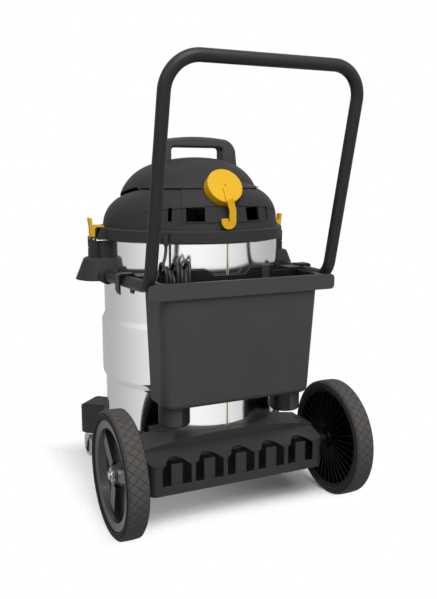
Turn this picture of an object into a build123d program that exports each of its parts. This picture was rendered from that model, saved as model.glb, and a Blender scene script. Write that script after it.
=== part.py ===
"""Shop vacuum with a steel drum on a wheeled dolly, modelled piece by piece in millimetres.

+Z is up, the rear with the big wheels, the basket and the push handle is +Y,
and the floor is Z = 0. The drum's axis stands axis_y from the middle of the footprint.
"""

import math
import os

from build123d import *

os.makedirs("parts", exist_ok=True)

# Drum, a thin steel shell with a swelled middle band
drum_radius = 196.0
drum_floor = 152.0
drum_height = 418.0
drum_wall = 1.2
drum_corner = 10.0
band_swell = 7.0
band_start = 116.0
band_height = 118.0
band_step = 14.0
rim_roll = 4.0
seam_width = 3.0
seam_rise = 0.4
drum_rim = drum_floor + drum_height
band_radius = drum_radius + band_swell
band_low = drum_floor + band_start
band_high = band_low + band_height

# Hose inlet on the drum's front
inlet_drop = 88.0
inlet_bore = 29.0
inlet_throat_step = 3.0
inlet_wall = 4.0
inlet_border = 17.0
inlet_plate = 4.0
inlet_reach = 34.0
inlet_depth = 12.0
throat_start = 6.0
inlet_screw_inset = 7.0
inlet_screw_count = 4
inlet_screw_head = 4.0
inlet_screw_rise = 2.4
inlet_z = drum_rim - inlet_drop
inlet_throat = inlet_bore - inlet_throat_step
inlet_flange = inlet_bore + inlet_wall + inlet_border

# Front casters
caster_inset = 8.0
caster_forward = 190.0
caster_trail = 23.0
caster_radius = 31.0
caster_width = 22.0
caster_core = 22.0
caster_axle = 3.0
caster_hub_radius = 9.0
caster_dish = 4.0
caster_edge = 4.0
caster_side = 1.0
fork_gap = 25.0
fork_plate = 2.6
fork_crown = 19.0
fork_crown_gap = 6.0
fork_crown_thickness = 6.0
fork_bridge = 26.0
fork_tip = 8.0
stem_radius = 5.0
stem_length = 30.0
stem_gap = 2.0
bush_radius = 9.0
swivel_gap = 2.0
pivot_clearance = 0.05
caster_x = drum_radius - caster_inset
caster_y = -caster_forward
caster_hub_y = caster_y - caster_trail
fork_crown_low = 2 * caster_radius + fork_crown_gap
fork_crown_high = fork_crown_low + fork_crown_thickness

# Dolly
cradle_plate = 12.0
cradle_clearance = 0.6
cradle_border = 12.0
cradle_skirt_depth = 22.0
cradle_skirt_wall = 5.0
saddle_border = 4.0
saddle_rise = 9.0
saddle_crown = 16.0
saddle_depth = 18.0
deck_rise = 6.0
deck_depth = 50.0
deck_fall = 15.0
skirt_border = 1.0
skirt_drop = 63.0
skirt_wall = 4.0
skirt_corner = 14.0
skirt_front = 130.0
arch_count = 5
arch_end = 19.5
arch_pillar = 9.0
arch_sill = 18.0
arch_spring_drop = 6.0
arch_rise = 13.0
arch_depth = 26.0
arch_panel = 24.0
arch_panel_drop = 1.0
arch_panel_setback = 1.5
axle_inset = 38.0
axle_boss = 17.0
axle_boss_proud = 9.0
axle_boss_depth = 20.0
shelf_hole = 5.5
shelf_hole_inset = 11.0
shelf_hole_y = 172.0
shelf_hole_depth = 11.0
rib_wall = 4.0
rib_ring = 118.0
rib_count = 8
foot_half = 32.0
foot_round = 26.0
foot_level = 30.0
foot_overhang = 24.0
foot_nose = 26.0
plate_low = drum_floor - cradle_plate
cradle_radius = drum_radius + cradle_border
cradle_skirt_low = plate_low - cradle_skirt_depth
saddle_half = drum_radius + saddle_border
saddle_shoulder = drum_floor + saddle_rise
saddle_crest = saddle_shoulder + saddle_crown
saddle_rear = drum_radius + saddle_depth
deck_top = drum_floor + deck_rise
deck_edge = deck_top - deck_fall
skirt_half = drum_radius + skirt_border
skirt_rear = saddle_rear + deck_depth
skirt_low = deck_edge - skirt_drop
arch_pitch = 2 * (skirt_half - arch_end) / arch_count
arch_width = arch_pitch - arch_pillar
arch_low = skirt_low + arch_sill
arch_spring = deck_edge - arch_spring_drop
arch_crest = arch_spring + arch_rise
arch_panel_top = deck_edge - arch_panel_drop
axle_boss_reach = skirt_half + axle_boss_proud
shelf_hole_x = skirt_half - shelf_hole_inset
foot_under = fork_crown_high + swivel_gap
foot_start = drum_radius
foot_shoulder = foot_start + foot_level
foot_end = math.hypot(caster_x, caster_y) + foot_overhang
stem_top = foot_under + stem_length

# Rear wheels and their axle
wheel_radius = 127.0
tyre_width = 45.0
tyre_height = 20.0
tyre_bead = 4.0
tyre_bulge = 8.0
tyre_shoulder = 5.5
tyre_shoulder_drop = 4.5
tyre_edge = 2.5
tyre_crown = 0.8
spacer_length = 20.0
spacer_wall = 4.0
spacer_gap = 0.4
hub_proud = 1.0
hub_inset = 8.0
hub_web = 6.0
hub_boss = 22.0
hub_taper = 4.0
hub_rim_wall = 5.0
hub_ring = 15.0
hub_flare = 6.0
spoke_count = 3
spoke_width = 25.0
spoke_taper = 82.0
spoke_phase = 17.0
spoke_drop = 4.0
fin_count = 36
fin_thickness = 2.4
axle_radius = 6.0
axle_clearance = 0.05
axle_end = 1.0
nut_radius = 9.0
nut_tabs = 8
nut_tab_reach = 14.0
nut_thickness = 2.0
nut_collar = 2.0
nut_gap = 0.5
axle_y = skirt_rear - axle_inset
axle_z = wheel_radius
bead_radius = wheel_radius - tyre_height
hub_inner = axle_boss_reach + spacer_length
wheel_inner = hub_inner + hub_proud
wheel_outer = wheel_inner + tyre_width
wheel_mid = (wheel_inner + wheel_outer) / 2
hub_boss_end = wheel_outer - hub_inset
hub_rim = bead_radius - hub_rim_wall
hub_mouth = bead_radius - hub_ring

# Push handle, one bent tube
tube_radius = 12.0
tube_wall = 1.5
grip_rise = 333.0
grip_lean = 100.0
grip_corner = 62.0
leg_x = 195.0
leg_depth = 65.0
leg_drop = 73.0
leg_bend = 46.0
run_end_y = 40.0
run_end_drop = 75.0
tube_socket_radius = 17.0
tube_socket_rear = 62.0
tube_socket_front = 8.0
leg_foot_y = band_radius + leg_depth
leg_foot_z = drum_rim - leg_drop
grip_y = leg_foot_y + grip_lean
grip_z = drum_rim + grip_rise
run_end_x = drum_radius + tube_socket_radius
run_end_z = drum_rim - run_end_drop
run_slope = (leg_foot_z - run_end_z) / (leg_foot_y - run_end_y)
run_drift = (run_end_x - leg_x) / (leg_foot_y - run_end_y)

# The middle of the footprint lies between the push handle and the casters
rear_reach = grip_y + tube_radius
front_reach = caster_radius - caster_hub_y
axis_y = (front_reach - rear_reach) / 2

# Tool basket behind the drum
basket_drop = 66.0
basket_depth = 254.0
basket_back_rise = 12.0
basket_wall = 3.0
basket_side_gap = 9.0
basket_taper = 9.0
basket_front = 25.0
basket_front_taper = 4.0
basket_reach = 77.0
basket_rear_taper = 18.0
basket_corner = 24.0
basket_round = 12.0
back_gap_half = 36.0
back_half = 118.0
drum_gap = 4.0
rim_band = 31.0
rim_overhang = 8.0
rim_gap = 1.0
rim_wall = 3.0
rim_corner = 9.0
flange_gap = 2.0
flange_depth = 41.0
socket_x = 128.0
socket_setback = 12.0
socket_wall = 4.0
socket_bore = 28.0
socket_length = 42.0
socket_round = 5.0
hook_y = 150.0
hook_width = 24.0
hook_side_gap = 1.4
hook_top_gap = 0.3
hook_wall = 4.0
hook_drop = 26.0
hook_point = 8.0
arm_width = 34.0
arm_gap = 2.5
basket_rim = drum_rim - basket_drop
basket_floor = basket_rim - basket_depth
basket_back = basket_rim + basket_back_rise
basket_half_top = leg_x - tube_radius - basket_side_gap
basket_half_low = basket_half_top - basket_taper
basket_front_top = band_radius - basket_front
basket_front_low = basket_front_top + basket_front_taper
basket_rear_top = band_radius + basket_reach
basket_rear_low = basket_rear_top - basket_rear_taper
basket_clear = band_radius + drum_gap
rim_half = leg_x + rim_overhang
rim_rear = leg_foot_y + tube_radius + rim_gap + rim_wall
rim_front = rim_rear - rim_wall - flange_depth
flange_half = leg_x - tube_radius - flange_gap
socket_y = band_radius + socket_setback
socket_radius = socket_bore + socket_wall
socket_low = basket_floor - socket_length
hook_x = leg_x + run_drift * (leg_foot_y - hook_y)
hook_z = leg_foot_z - run_slope * (leg_foot_y - hook_y)
hook_seat = hook_z + tube_radius + hook_top_gap
hook_half = tube_radius + hook_side_gap
hook_low = hook_z - hook_drop

# Lid, which stands on the drum's rolled rim
lid_overhang = 12.0
lid_lap = 1.0
lid_height = 25.0
lid_plate = 4.0
lid_skirt_wall = 3.5
lid_bevel = 3.5
lid_bevel_drop = 2.5
lid_draft = 1.0
lid_spigot_gap = 7.0
lid_spigot_wall = 3.0
lid_spigot_drop = 11.0
lid_port = 70.0
lid_lug_half = 27.0
lid_lug_reach = 13.0
lid_lug_top_reach = 4.0
lid_lug_lap = 4.0
lid_notch_depth = 6.0
gasket_thickness = 8.0
gasket_half = 5.0
lid_radius = drum_radius + lid_overhang
lid_low = drum_rim - lid_lap
lid_top = lid_low + lid_height
lid_under = lid_top - lid_plate
lid_inside = lid_radius - lid_skirt_wall
lid_seat = drum_rim + rim_roll + gasket_thickness
gasket_inner = drum_radius - gasket_half
gasket_outer = drum_radius + gasket_half
lid_spigot_radius = drum_radius - lid_spigot_gap
lid_spigot_low = lid_low - lid_spigot_drop
lid_lug_low_out = lid_radius + lid_lug_reach
lid_lug_top_out = lid_radius + lid_lug_top_reach
lid_notch_in = lid_radius - lid_notch_depth

# Side handles with latch catches
bell_drop = 40.0
bell_height = 46.0
bell_top_reach = 50.0
bell_low_reach = 69.0
bell_top_half = 44.0
bell_low_half = 58.0
bell_top_side = 36.0
bell_low_side = 44.0
bell_sweep = 10.0
bell_root = 32.0
bell_wall = 4.0
bell_dome = 8.0
bell_cheek = 18.0
bell_back = 12.0
neck_half = 24.0
neck_depth = 22.0
neck_drop = 7.0
catch_reach = 39.0
catch_start = 26.0
catch_half = 11.5
catch_lap = 4.0
catch_rise = 5.0
catch_groove_drop = 21.0
catch_groove = 1.6
catch_groove_height = 2.0
handle_screw_y = 15.0
handle_screw_drop = 24.0
handle_screw_head = 5.0
handle_screw_rise = 3.0
bell_top = drum_rim - bell_drop
bell_low = bell_top - bell_height
bell_top_out = drum_radius + bell_top_reach
bell_low_out = drum_radius + bell_low_reach
bell_top_corner = drum_radius + bell_top_side
bell_low_corner = drum_radius + bell_low_side
bell_in = drum_radius - bell_root
bell_cavity_in = drum_radius + bell_back
neck_out = drum_radius + neck_depth
neck_top = drum_rim - neck_drop
catch_out = drum_radius + catch_reach
catch_in = drum_radius + catch_start
catch_top = drum_rim + catch_rise
catch_groove_z = drum_rim - catch_groove_drop
handle_screw_z = drum_rim - handle_screw_drop

# Latches
latch_inset = 6.5
latch_under = 2.0
latch_width = 15.0
latch_side_gap = 0.4
latch_eye = 5.0
latch_pin = 2.0
latch_arm = 5.0
latch_tip_lap = 5.0
latch_tip_width = 3.0
latch_tab_height = 21.0
latch_tab_lean = 3.0
latch_tab_width = 7.0
latch_tab_round = 2.0
lid_notch_gap = 1.1
latch_x = catch_out - latch_inset
latch_z = drum_rim
latch_tip = lid_radius - latch_tip_lap
lid_notch_half = latch_width / 2 + lid_notch_gap
arm_low = lid_top + latch_side_gap
arm_high = arm_low + latch_arm
tab_top = lid_top + latch_tab_height
tab_out = latch_x + latch_eye + latch_tab_lean

# Vented housing and hood, which lean forward on the lid
head_tilt = 10.0
shell = 3.0
housing_inset = 11.5
housing_draft = 1.5
housing_shoulder_h = 14.0
housing_mid_in = 15.5
housing_mid_h = 48.0
housing_root = 50.0
ledge_in = 46.5
ledge_h = 70.0
ledge_width = 32.0
housing_flange_gap = 6.5
housing_flange_width = 40.0
housing_flange = 3.0
vent_sill = 18.0
vent_height = 27.0
vent_angles = (19.5, -19.5)
vent_width = 38.0
slit_angles = (35.0, -35.0)
slit_width = 8.0
panel_proud = 1.6
panel_span = 54.0
panel_sill = 16.0
panel_top_gap = 2.0
apron_gap = 1.0
apron_wall = 2.5
apron_span = 130.0
apron_rise = 84.0
seam_groove = 1.2
seam_span = 104.0
hood_lip_over = 4.0
hood_lip_h = 71.0
hood_side_in = 3.0
hood_side_h = 80.0
hood_mid_in = 21.0
hood_mid_h = 107.0
hood_brow_in = 56.0
hood_brow_h = 131.0
hood_top_h = 147.0
hood_slot_half = 62.0
hood_slot_h = 5.0
head_screw_inset = 18.0
head_screw_count = 6
head_screw_head = 5.0
head_screw_shank = 2.2
housing_base = lid_radius - housing_inset
housing_shoulder = housing_base - housing_draft
housing_mid = housing_base - housing_mid_in
ledge_radius = housing_base - ledge_in
ledge_inner = ledge_radius - ledge_width
housing_flange_outer = housing_base - housing_flange_gap
housing_flange_inner = housing_flange_outer - housing_flange_width
vent_low = lid_top + vent_sill
vent_high = vent_low + vent_height
apron_low = lid_top + apron_rise
panel_low = lid_top + panel_sill
panel_high = apron_low - panel_top_gap
hood_lip = ledge_radius + hood_lip_over
hood_side = hood_lip - hood_side_in
hood_mid = hood_lip - hood_mid_in
hood_brow = hood_lip - hood_brow_in
head_screw_circle = housing_flange_outer - head_screw_inset

# Carry handle on the hood
carry_y = 28.0
carry_half = 97.0
carry_depth = 36.0
carry_rise = 46.0
carry_corner_in = 36.0
carry_corner_mid = 14.0
carry_draft = 3.0
carry_side_drop = 37.0
carry_crown = 4.0
carry_corner_drop = 13.0
carry_post = 37.0
carry_bar = 23.0
carry_gap = 34.0
carry_foot_drop = 65.0
carry_round = 6.0
carry_gap_round = 8.0
carry_top = lid_top + hood_top_h + carry_rise
carry_foot_z = carry_top - carry_foot_drop
carry_gap_half = carry_half - carry_post
carry_gap_top = carry_top - carry_bar
carry_gap_low = carry_gap_top - carry_gap

# Blower port and its cap
port_tilt = 30.0
port_inset = 23.0
port_rise = 90.0
cap_radius = 38.5
cap_length = 22.0
cap_wall = 4.0
cap_clearance = 0.4
cap_gap = 1.0
cap_dimple = 2.0
cap_dimple_depth = 2.5
port_neck_gap = 1.0
port_wall = 5.0
port_lip = 3.0
port_collar_depth = 34.0
port_floor = 3.0
port_duct_depth = 30.0
strap_width = 15.0
strap_thickness = 3.0
strap_start = 9.0
strap_drop = 80.0
strap_bow = 7.0
strap_elbow = 30.0
strap_curl = 8.0
strap_hook = 10.5
strap_tip = 14.0
port_y = lid_radius - port_inset
port_z = lid_top + port_rise
port_neck = cap_radius - cap_wall - port_neck_gap
port_bore = port_neck - port_wall
port_collar = cap_radius + port_lip
strap_low = port_z - strap_drop

# Switch on the hood's front
switch_pitch = 46.0
switch_length = 40.0
switch_width = 26.0
switch_proud = 1.0
bezel_border = 7.0
bezel_depth = 9.0
bezel_rise = 3.0
rocker_gap = 0.6
rocker_end_gap = 1.6
rocker_throw = 9.0
rocker_depth = 8.0
rocker_keel = 4.0
rocker_crown = 2.0
rocker_pin = 2.0
switch_r = hood_mid + switch_proud
switch_h = hood_mid_h - switch_proud

# Motor, fan and filter under the hood and the lid
motor_radius = 58.0
motor_bore = 40.0
motor_height = 82.0
motor_cap = 4.0
motor_bevel = 6.0
fan_radius = 88.0
fan_wall = 2.5
fan_height = 24.0
fan_outlet = 20.0
impeller_gap = 12.0
impeller_lift = 5.0
impeller_disc = 2.0
impeller_eye = 13.0
blade_count = 9
blade_height = 11.0
blade_thickness = 2.0
blade_sweep = 9.5
blade_tip_gap = 2.0
shaft_radius = 5.0
shaft_clearance = 0.06
shaft_end = 2.0
armature_gap = 6.0
armature_lift = 14.0
armature_length = 52.0
cage_radius = 58.0
cage_wall = 3.0
cage_depth = 150.0
cage_flange_lap = 14.0
cage_windows = 8
cage_window_width = 26.0
cage_window_start = 28.0
cage_window_height = 104.0
float_radius = 25.0
float_gap = 0.4
filter_gap = 3.0
filter_core = 17.0
pleat_depth = 16.0
pleat_count = 36
filter_cap_lip = 3.0
filter_cap = 8.0
filter_foot = 2.0
knob_lap = 7.0
knob_stud = 8.0
knob_wing_half = 34.0
knob_wing_height = 16.0
fan_top = lid_top + fan_height
motor_top = fan_top + motor_height
impeller_radius = fan_radius - impeller_gap
impeller_low = lid_top + impeller_lift
armature_radius = motor_bore - armature_gap
armature_low = fan_top + armature_lift
cage_low = lid_under - cage_depth
cage_floor = cage_low + cage_wall
cage_flange = lid_port + cage_flange_lap
cage_window_mid = cage_low + cage_window_start + cage_window_height / 2
filter_inner = cage_radius + filter_gap
filter_root = filter_inner + filter_core
filter_tip = filter_root + pleat_depth
filter_cap_radius = filter_tip + filter_cap_lip
filter_low = cage_low - filter_foot
filter_high = lid_under - cage_wall
knob_radius = filter_inner + knob_lap

# Power cord, gathered in the basket
cord_radius = 3.25
gland_angle = 36.0
gland_stand = 5.0
gland_seat = 4.0
gland_radius = 6.5
gland_height = 19.0
gland_clip = 9.0
relief_length = 24.0
relief_tip = 4.4
lead_drop = 26.0
lead_bend = 33.0
hank_x = 158.0
hank_y = 230.0
hank_half = 22.0
hank_step = 3.8
hank_loops = 9
hank_shown = 7
hank_hidden_drop = 90.0
hank_first_y = 200.0
hank_start = 26.0
hank_top_rise = 2.0
hank_top_sway = 10.0
hank_low_rise = 40.0
hank_low_sway = 9.0
hank_sway_rate = 2.1
hank_last_step = 17.0
hank_last_y = 216.0
plug_rise = 80.0
plug_length = 42.0
plug_width = 24.0
plug_depth = 20.0
plug_neck = 5.0
plug_neck_length = 12.0
plug_pin_pitch = 12.7
plug_pin_width = 6.3
plug_pin_thickness = 1.6
plug_pin_length = 15.0
plug_earth_radius = 2.4
plug_earth_offset = 6.0
gland_reach = lid_radius + gland_stand
gland_high = lid_low + gland_height
relief_low = gland_high - relief_length
hank_start_z = basket_rim - hank_start
hank_top = basket_rim + hank_top_rise
hank_low = basket_floor + hank_low_rise
plug_top = basket_floor + plug_rise


def half_plane(angle):
    """Upright plane through the drum's axis, its first direction at this angle from +X."""
    turn = math.radians(angle)
    along = (math.cos(turn), math.sin(turn), 0)
    normal = (math.sin(turn), -math.cos(turn), 0)
    return Plane((0, axis_y, 0), x_dir=along, z_dir=normal)


def facing(angle, height):
    """Upright plane that faces outwards, angle degrees from the rear towards +X."""
    turn = math.radians(angle)
    outward = (math.sin(turn), math.cos(turn), 0)
    across = (-math.cos(turn), math.sin(turn), 0)
    return Plane((0, axis_y, height), x_dir=across, z_dir=outward)


floor = Plane((0, axis_y, 0))
section = half_plane(0)
profile = half_plane(90)
drum_axis = Axis((0, axis_y, 0), (0, 0, 1))


def drum_points(inset):
    """Half section of the drum from the middle of its floor up to its rim."""
    rim = drum_radius - inset
    band = band_radius - inset
    base = drum_floor + inset
    return [
        (0, base),
        (rim, base),
        (rim, band_low - band_step),
        (band, band_low),
        (band, band_high),
        (rim, band_high + band_step),
        (rim, drum_rim),
    ]


# Drum
seam_angle = math.degrees(seam_width / drum_radius)
with BuildPart() as drum:
    with BuildSketch(section):
        with BuildLine():
            FilletPolyline(*drum_points(0), radius=drum_corner)
            Polyline((drum_radius, drum_rim), (0, drum_rim), (0, drum_floor))
        make_face()
    revolve(axis=drum_axis)
    with BuildSketch(half_plane(90 - seam_angle / 2)):
        with BuildLine():
            FilletPolyline(*drum_points(-seam_rise)[1:], radius=drum_corner)
            Polyline(
                (drum_radius + seam_rise, drum_rim),
                (drum_radius / 2, drum_rim),
                (drum_radius / 2, drum_floor - seam_rise),
                (drum_radius + seam_rise, drum_floor - seam_rise),
            )
        make_face()
    revolve(axis=drum_axis, revolution_arc=seam_angle)
    with BuildSketch(section):
        with BuildLine():
            FilletPolyline(*drum_points(drum_wall), radius=drum_corner - drum_wall)
            Polyline(
                (drum_radius - drum_wall, drum_rim),
                (0, drum_rim),
                (0, drum_floor + drum_wall),
            )
        make_face()
    revolve(axis=drum_axis, mode=Mode.SUBTRACT)
    with BuildSketch(section):
        with Locations((drum_radius, drum_rim)):
            Circle(rim_roll)
    revolve(axis=drum_axis)
    with BuildSketch(floor.offset(drum_floor - drum_wall)):
        Circle(band_radius)
    extrude(amount=drum_wall, mode=Mode.SUBTRACT)
    with BuildSketch(facing(180, inlet_z).offset(drum_radius / 2)):
        Circle(inlet_bore + inlet_wall)
    extrude(amount=drum_radius, mode=Mode.SUBTRACT)
drum.part.label = "drum"
export_step(drum.part, "parts/drum.step")

# Hose inlet: a socket with a plate curved to the drum and a stepped throat
inlet_face = facing(180, inlet_z)
with BuildPart() as inlet_port:
    with BuildSketch(floor.offset(inlet_z - inlet_flange)):
        Circle(drum_radius + inlet_plate)
        Circle(drum_radius, mode=Mode.SUBTRACT)
    extrude(amount=2 * inlet_flange)
    with BuildSketch(inlet_face):
        Circle(inlet_flange)
    extrude(amount=drum_radius + inlet_reach, mode=Mode.INTERSECT)
    with BuildSketch(inlet_face.offset(drum_radius - inlet_depth)):
        Circle(inlet_bore + inlet_wall)
    extrude(amount=inlet_depth + inlet_reach)
    with BuildSketch(inlet_face.offset(drum_radius - inlet_depth)):
        Circle(inlet_throat)
    extrude(amount=inlet_depth + inlet_reach, mode=Mode.SUBTRACT)
    with BuildSketch(inlet_face.offset(drum_radius + throat_start)):
        Circle(inlet_bore)
    extrude(amount=inlet_reach, mode=Mode.SUBTRACT)
inlet_port.part.label = "inlet_port"
export_step(inlet_port.part, "parts/inlet_port.step")

with BuildPart() as inlet_screws:
    with BuildSketch(inlet_face.offset(drum_radius - inlet_screw_rise)):
        with PolarLocations(inlet_flange - inlet_screw_inset, inlet_screw_count, 45):
            Circle(inlet_screw_head)
    extrude(amount=inlet_screw_rise + inlet_plate + inlet_screw_rise)
    with BuildSketch(floor):
        Circle(drum_radius + inlet_plate)
    extrude(amount=drum_rim, mode=Mode.SUBTRACT)
inlet_screws.part.label = "inlet_screws"
export_step(inlet_screws.part, "parts/inlet_screws.step")

# Caster foot: a level arm that ends in a round nose over the caster
foot_heading = math.degrees(math.atan2(caster_y, caster_x))
foot_plan = Plane((0, axis_y, foot_under), x_dir=half_plane(foot_heading).x_dir, z_dir=(0, 0, 1))
with BuildPart() as caster_foot:
    with BuildSketch(half_plane(foot_heading).offset(-foot_half)):
        with BuildLine():
            Polyline(
                (foot_end, drum_floor - foot_nose),
                (foot_end, foot_under),
                (foot_shoulder, foot_under),
                (foot_start, cradle_skirt_low),
                (foot_start, drum_floor),
                (foot_end - foot_nose, drum_floor),
            )
            nose_top = (foot_end - foot_nose, drum_floor)
            TangentArc(nose_top, (foot_end, drum_floor - foot_nose), tangent=(1, 0))
        make_face()
    extrude(amount=2 * foot_half)
    with BuildSketch(foot_plan):
        with Locations((foot_end / 2, 0)):
            RectangleRounded(foot_end, 2 * foot_half, foot_round)
    extrude(amount=drum_floor, mode=Mode.INTERSECT)

# Dolly: cradle, rear skirt with arched windows, and two caster feet
with BuildPart() as dolly:
    with BuildSketch(floor.offset(cradle_skirt_low)):
        Circle(cradle_radius)
    extrude(amount=deck_top - cradle_skirt_low)
    with BuildSketch(floor.offset(skirt_low)):
        with BuildLine():
            FilletPolyline(
                (skirt_half, skirt_front),
                (skirt_half, skirt_rear),
                (-skirt_half, skirt_rear),
                (-skirt_half, skirt_front),
                radius=skirt_corner,
            )
            Line((-skirt_half, skirt_front), (skirt_half, skirt_front))
        make_face()
    extrude(amount=deck_top - skirt_low)
    # the deck slopes from the saddle down to the skirt
    with BuildSketch(profile.offset(-cradle_radius)):
        Polygon(
            (saddle_rear, deck_top),
            (skirt_rear, deck_edge),
            (skirt_rear + skirt_wall, deck_edge),
            (skirt_rear + skirt_wall, deck_top),
            align=None,
        )
    extrude(amount=2 * cradle_radius, mode=Mode.SUBTRACT)
    # space inside the skirt, under the deck
    with BuildSketch(floor.offset(skirt_low)):
        with BuildLine():
            FilletPolyline(
                (skirt_half - skirt_wall, skirt_front - skirt_wall),
                (skirt_half - skirt_wall, skirt_rear - skirt_wall),
                (skirt_wall - skirt_half, skirt_rear - skirt_wall),
                (skirt_wall - skirt_half, skirt_front - skirt_wall),
                radius=skirt_corner - skirt_wall,
            )
            Line(
                (skirt_wall - skirt_half, skirt_front - skirt_wall),
                (skirt_half - skirt_wall, skirt_front - skirt_wall),
            )
        make_face()
    extrude(amount=plate_low - skirt_low, mode=Mode.SUBTRACT)
    # drum well and the hollow underside of the cradle
    with BuildSketch(floor.offset(drum_floor)):
        Circle(drum_radius + cradle_clearance)
    extrude(amount=deck_rise, mode=Mode.SUBTRACT)
    with BuildSketch(floor.offset(cradle_skirt_low)):
        Circle(cradle_radius - cradle_skirt_wall)
    extrude(amount=plate_low - cradle_skirt_low, mode=Mode.SUBTRACT)
    with BuildSketch(floor.offset(cradle_skirt_low)):
        Circle(rib_ring)
        Circle(rib_ring - rib_wall, mode=Mode.SUBTRACT)
        with PolarLocations((cradle_radius + rib_ring - cradle_skirt_wall) / 2, rib_count):
            Rectangle(cradle_radius - rib_ring, rib_wall)
    extrude(amount=plate_low - cradle_skirt_low)
    # arched windows, each with a panel standing in its middle
    with BuildSketch(section.offset(-skirt_rear)):
        for place in range(arch_count):
            middle = (place - (arch_count - 1) / 2) * arch_pitch
            with BuildLine():
                ThreePointArc(
                    (middle - arch_width / 2, arch_spring),
                    (middle, arch_crest),
                    (middle + arch_width / 2, arch_spring),
                )
                Polyline(
                    (middle + arch_width / 2, arch_spring),
                    (middle + arch_width / 2, arch_low),
                    (middle - arch_width / 2, arch_low),
                    (middle - arch_width / 2, arch_spring),
                )
            make_face()
    extrude(amount=arch_depth, mode=Mode.SUBTRACT)
    with BuildSketch(section.offset(arch_panel_setback - skirt_rear)):
        with Locations((0, (arch_low - skirt_wall + arch_panel_top) / 2)):
            with GridLocations(arch_pitch, 0, arch_count, 1):
                Rectangle(arch_panel, arch_panel_top - arch_low + skirt_wall)
    extrude(amount=skirt_wall - arch_panel_setback)
    # axle bosses on the skirt's cheeks
    with BuildSketch(profile.offset(-axle_boss_reach)):
        with Locations((axle_y, axle_z)):
            Circle(axle_boss)
    extrude(amount=2 * axle_boss_reach)
    with BuildSketch(profile.offset(axle_boss_depth - skirt_half)):
        with Locations((axle_y, axle_z)):
            Circle(axle_boss)
    extrude(amount=2 * (skirt_half - axle_boss_depth), mode=Mode.SUBTRACT)
    # cross wall behind the windows
    with BuildSketch(section.offset(arch_depth - skirt_rear)):
        with Locations((0, (skirt_low + plate_low) / 2)):
            Rectangle(2 * skirt_half - skirt_wall, plate_low - skirt_low)
    extrude(amount=skirt_wall)
    with BuildSketch(profile.offset(-axle_boss_reach)):
        with Locations((axle_y, axle_z)):
            Circle(axle_radius + axle_clearance)
    extrude(amount=2 * axle_boss_reach, mode=Mode.SUBTRACT)
    add(caster_foot.part)
    mirror(caster_foot.part, about=Plane.YZ)
    with BuildSketch(floor.offset(foot_under)):
        with Locations((caster_x, caster_y), (-caster_x, caster_y)):
            Circle(bush_radius)
    extrude(amount=stem_length + stem_gap, mode=Mode.SUBTRACT)
    with BuildSketch(floor.offset(deck_top)):
        with Locations((shelf_hole_x, shelf_hole_y), (-shelf_hole_x, shelf_hole_y)):
            Circle(shelf_hole)
    extrude(amount=-shelf_hole_depth, mode=Mode.SUBTRACT)
dolly.part.label = "dolly"
export_step(dolly.part, "parts/dolly.step")

# Saddle: the crowned collar on the deck that the drum's rear stands against
with BuildPart() as drum_saddle:
    with BuildSketch(section.offset(-saddle_rear)):
        with BuildLine():
            ThreePointArc(
                (-saddle_half, saddle_shoulder),
                (0, saddle_crest),
                (saddle_half, saddle_shoulder),
            )
            Polyline(
                (saddle_half, saddle_shoulder),
                (saddle_half, deck_top),
                (-saddle_half, deck_top),
                (-saddle_half, saddle_shoulder),
            )
        make_face()
    extrude(amount=saddle_rear - skirt_front)
    with BuildSketch(floor.offset(deck_top)):
        Circle(drum_radius + cradle_clearance)
        with Locations((shelf_hole_x, shelf_hole_y), (-shelf_hole_x, shelf_hole_y)):
            Circle(shelf_hole)
    extrude(amount=saddle_crest - deck_top, mode=Mode.SUBTRACT)
drum_saddle.part.label = "drum_saddle"
export_step(drum_saddle.part, "parts/drum_saddle.step")

# Rear axle with its spacers and push nuts
with BuildPart() as rear_axle:
    with BuildSketch(profile.offset(axle_end - wheel_outer)):
        with Locations((axle_y, axle_z)):
            Circle(axle_radius)
    extrude(amount=2 * (wheel_outer - axle_end))
rear_axle.part.label = "rear_axle"
export_step(rear_axle.part, "parts/rear_axle.step")

with BuildPart() as axle_spacers:
    for side in (1, -1):
        with BuildSketch(profile.offset(side * axle_boss_reach)):
            with Locations((axle_y, axle_z)):
                Circle(axle_radius + spacer_wall)
                Circle(axle_radius, mode=Mode.SUBTRACT)
        extrude(amount=side * (spacer_length - spacer_gap))
axle_spacers.part.label = "axle_spacers"
export_step(axle_spacers.part, "parts/axle_spacers.step")

with BuildPart() as axle_nuts:
    for side in (1, -1):
        with BuildSketch(profile.offset(side * (hub_boss_end + nut_gap))):
            with Locations((axle_y, axle_z)):
                Circle(nut_radius)
                with PolarLocations(nut_tab_reach / 2, nut_tabs):
                    Rectangle(nut_tab_reach, nut_radius / 2)
                Circle(axle_radius, mode=Mode.SUBTRACT)
        extrude(amount=side * nut_thickness)
        with BuildSketch(profile.offset(side * (hub_boss_end + nut_gap))):
            with Locations((axle_y, axle_z)):
                Circle(axle_radius + nut_collar)
                Circle(axle_radius, mode=Mode.SUBTRACT)
        extrude(amount=side * 3 * nut_thickness)
axle_nuts.part.label = "axle_nuts"
export_step(axle_nuts.part, "parts/axle_nuts.step")

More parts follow.
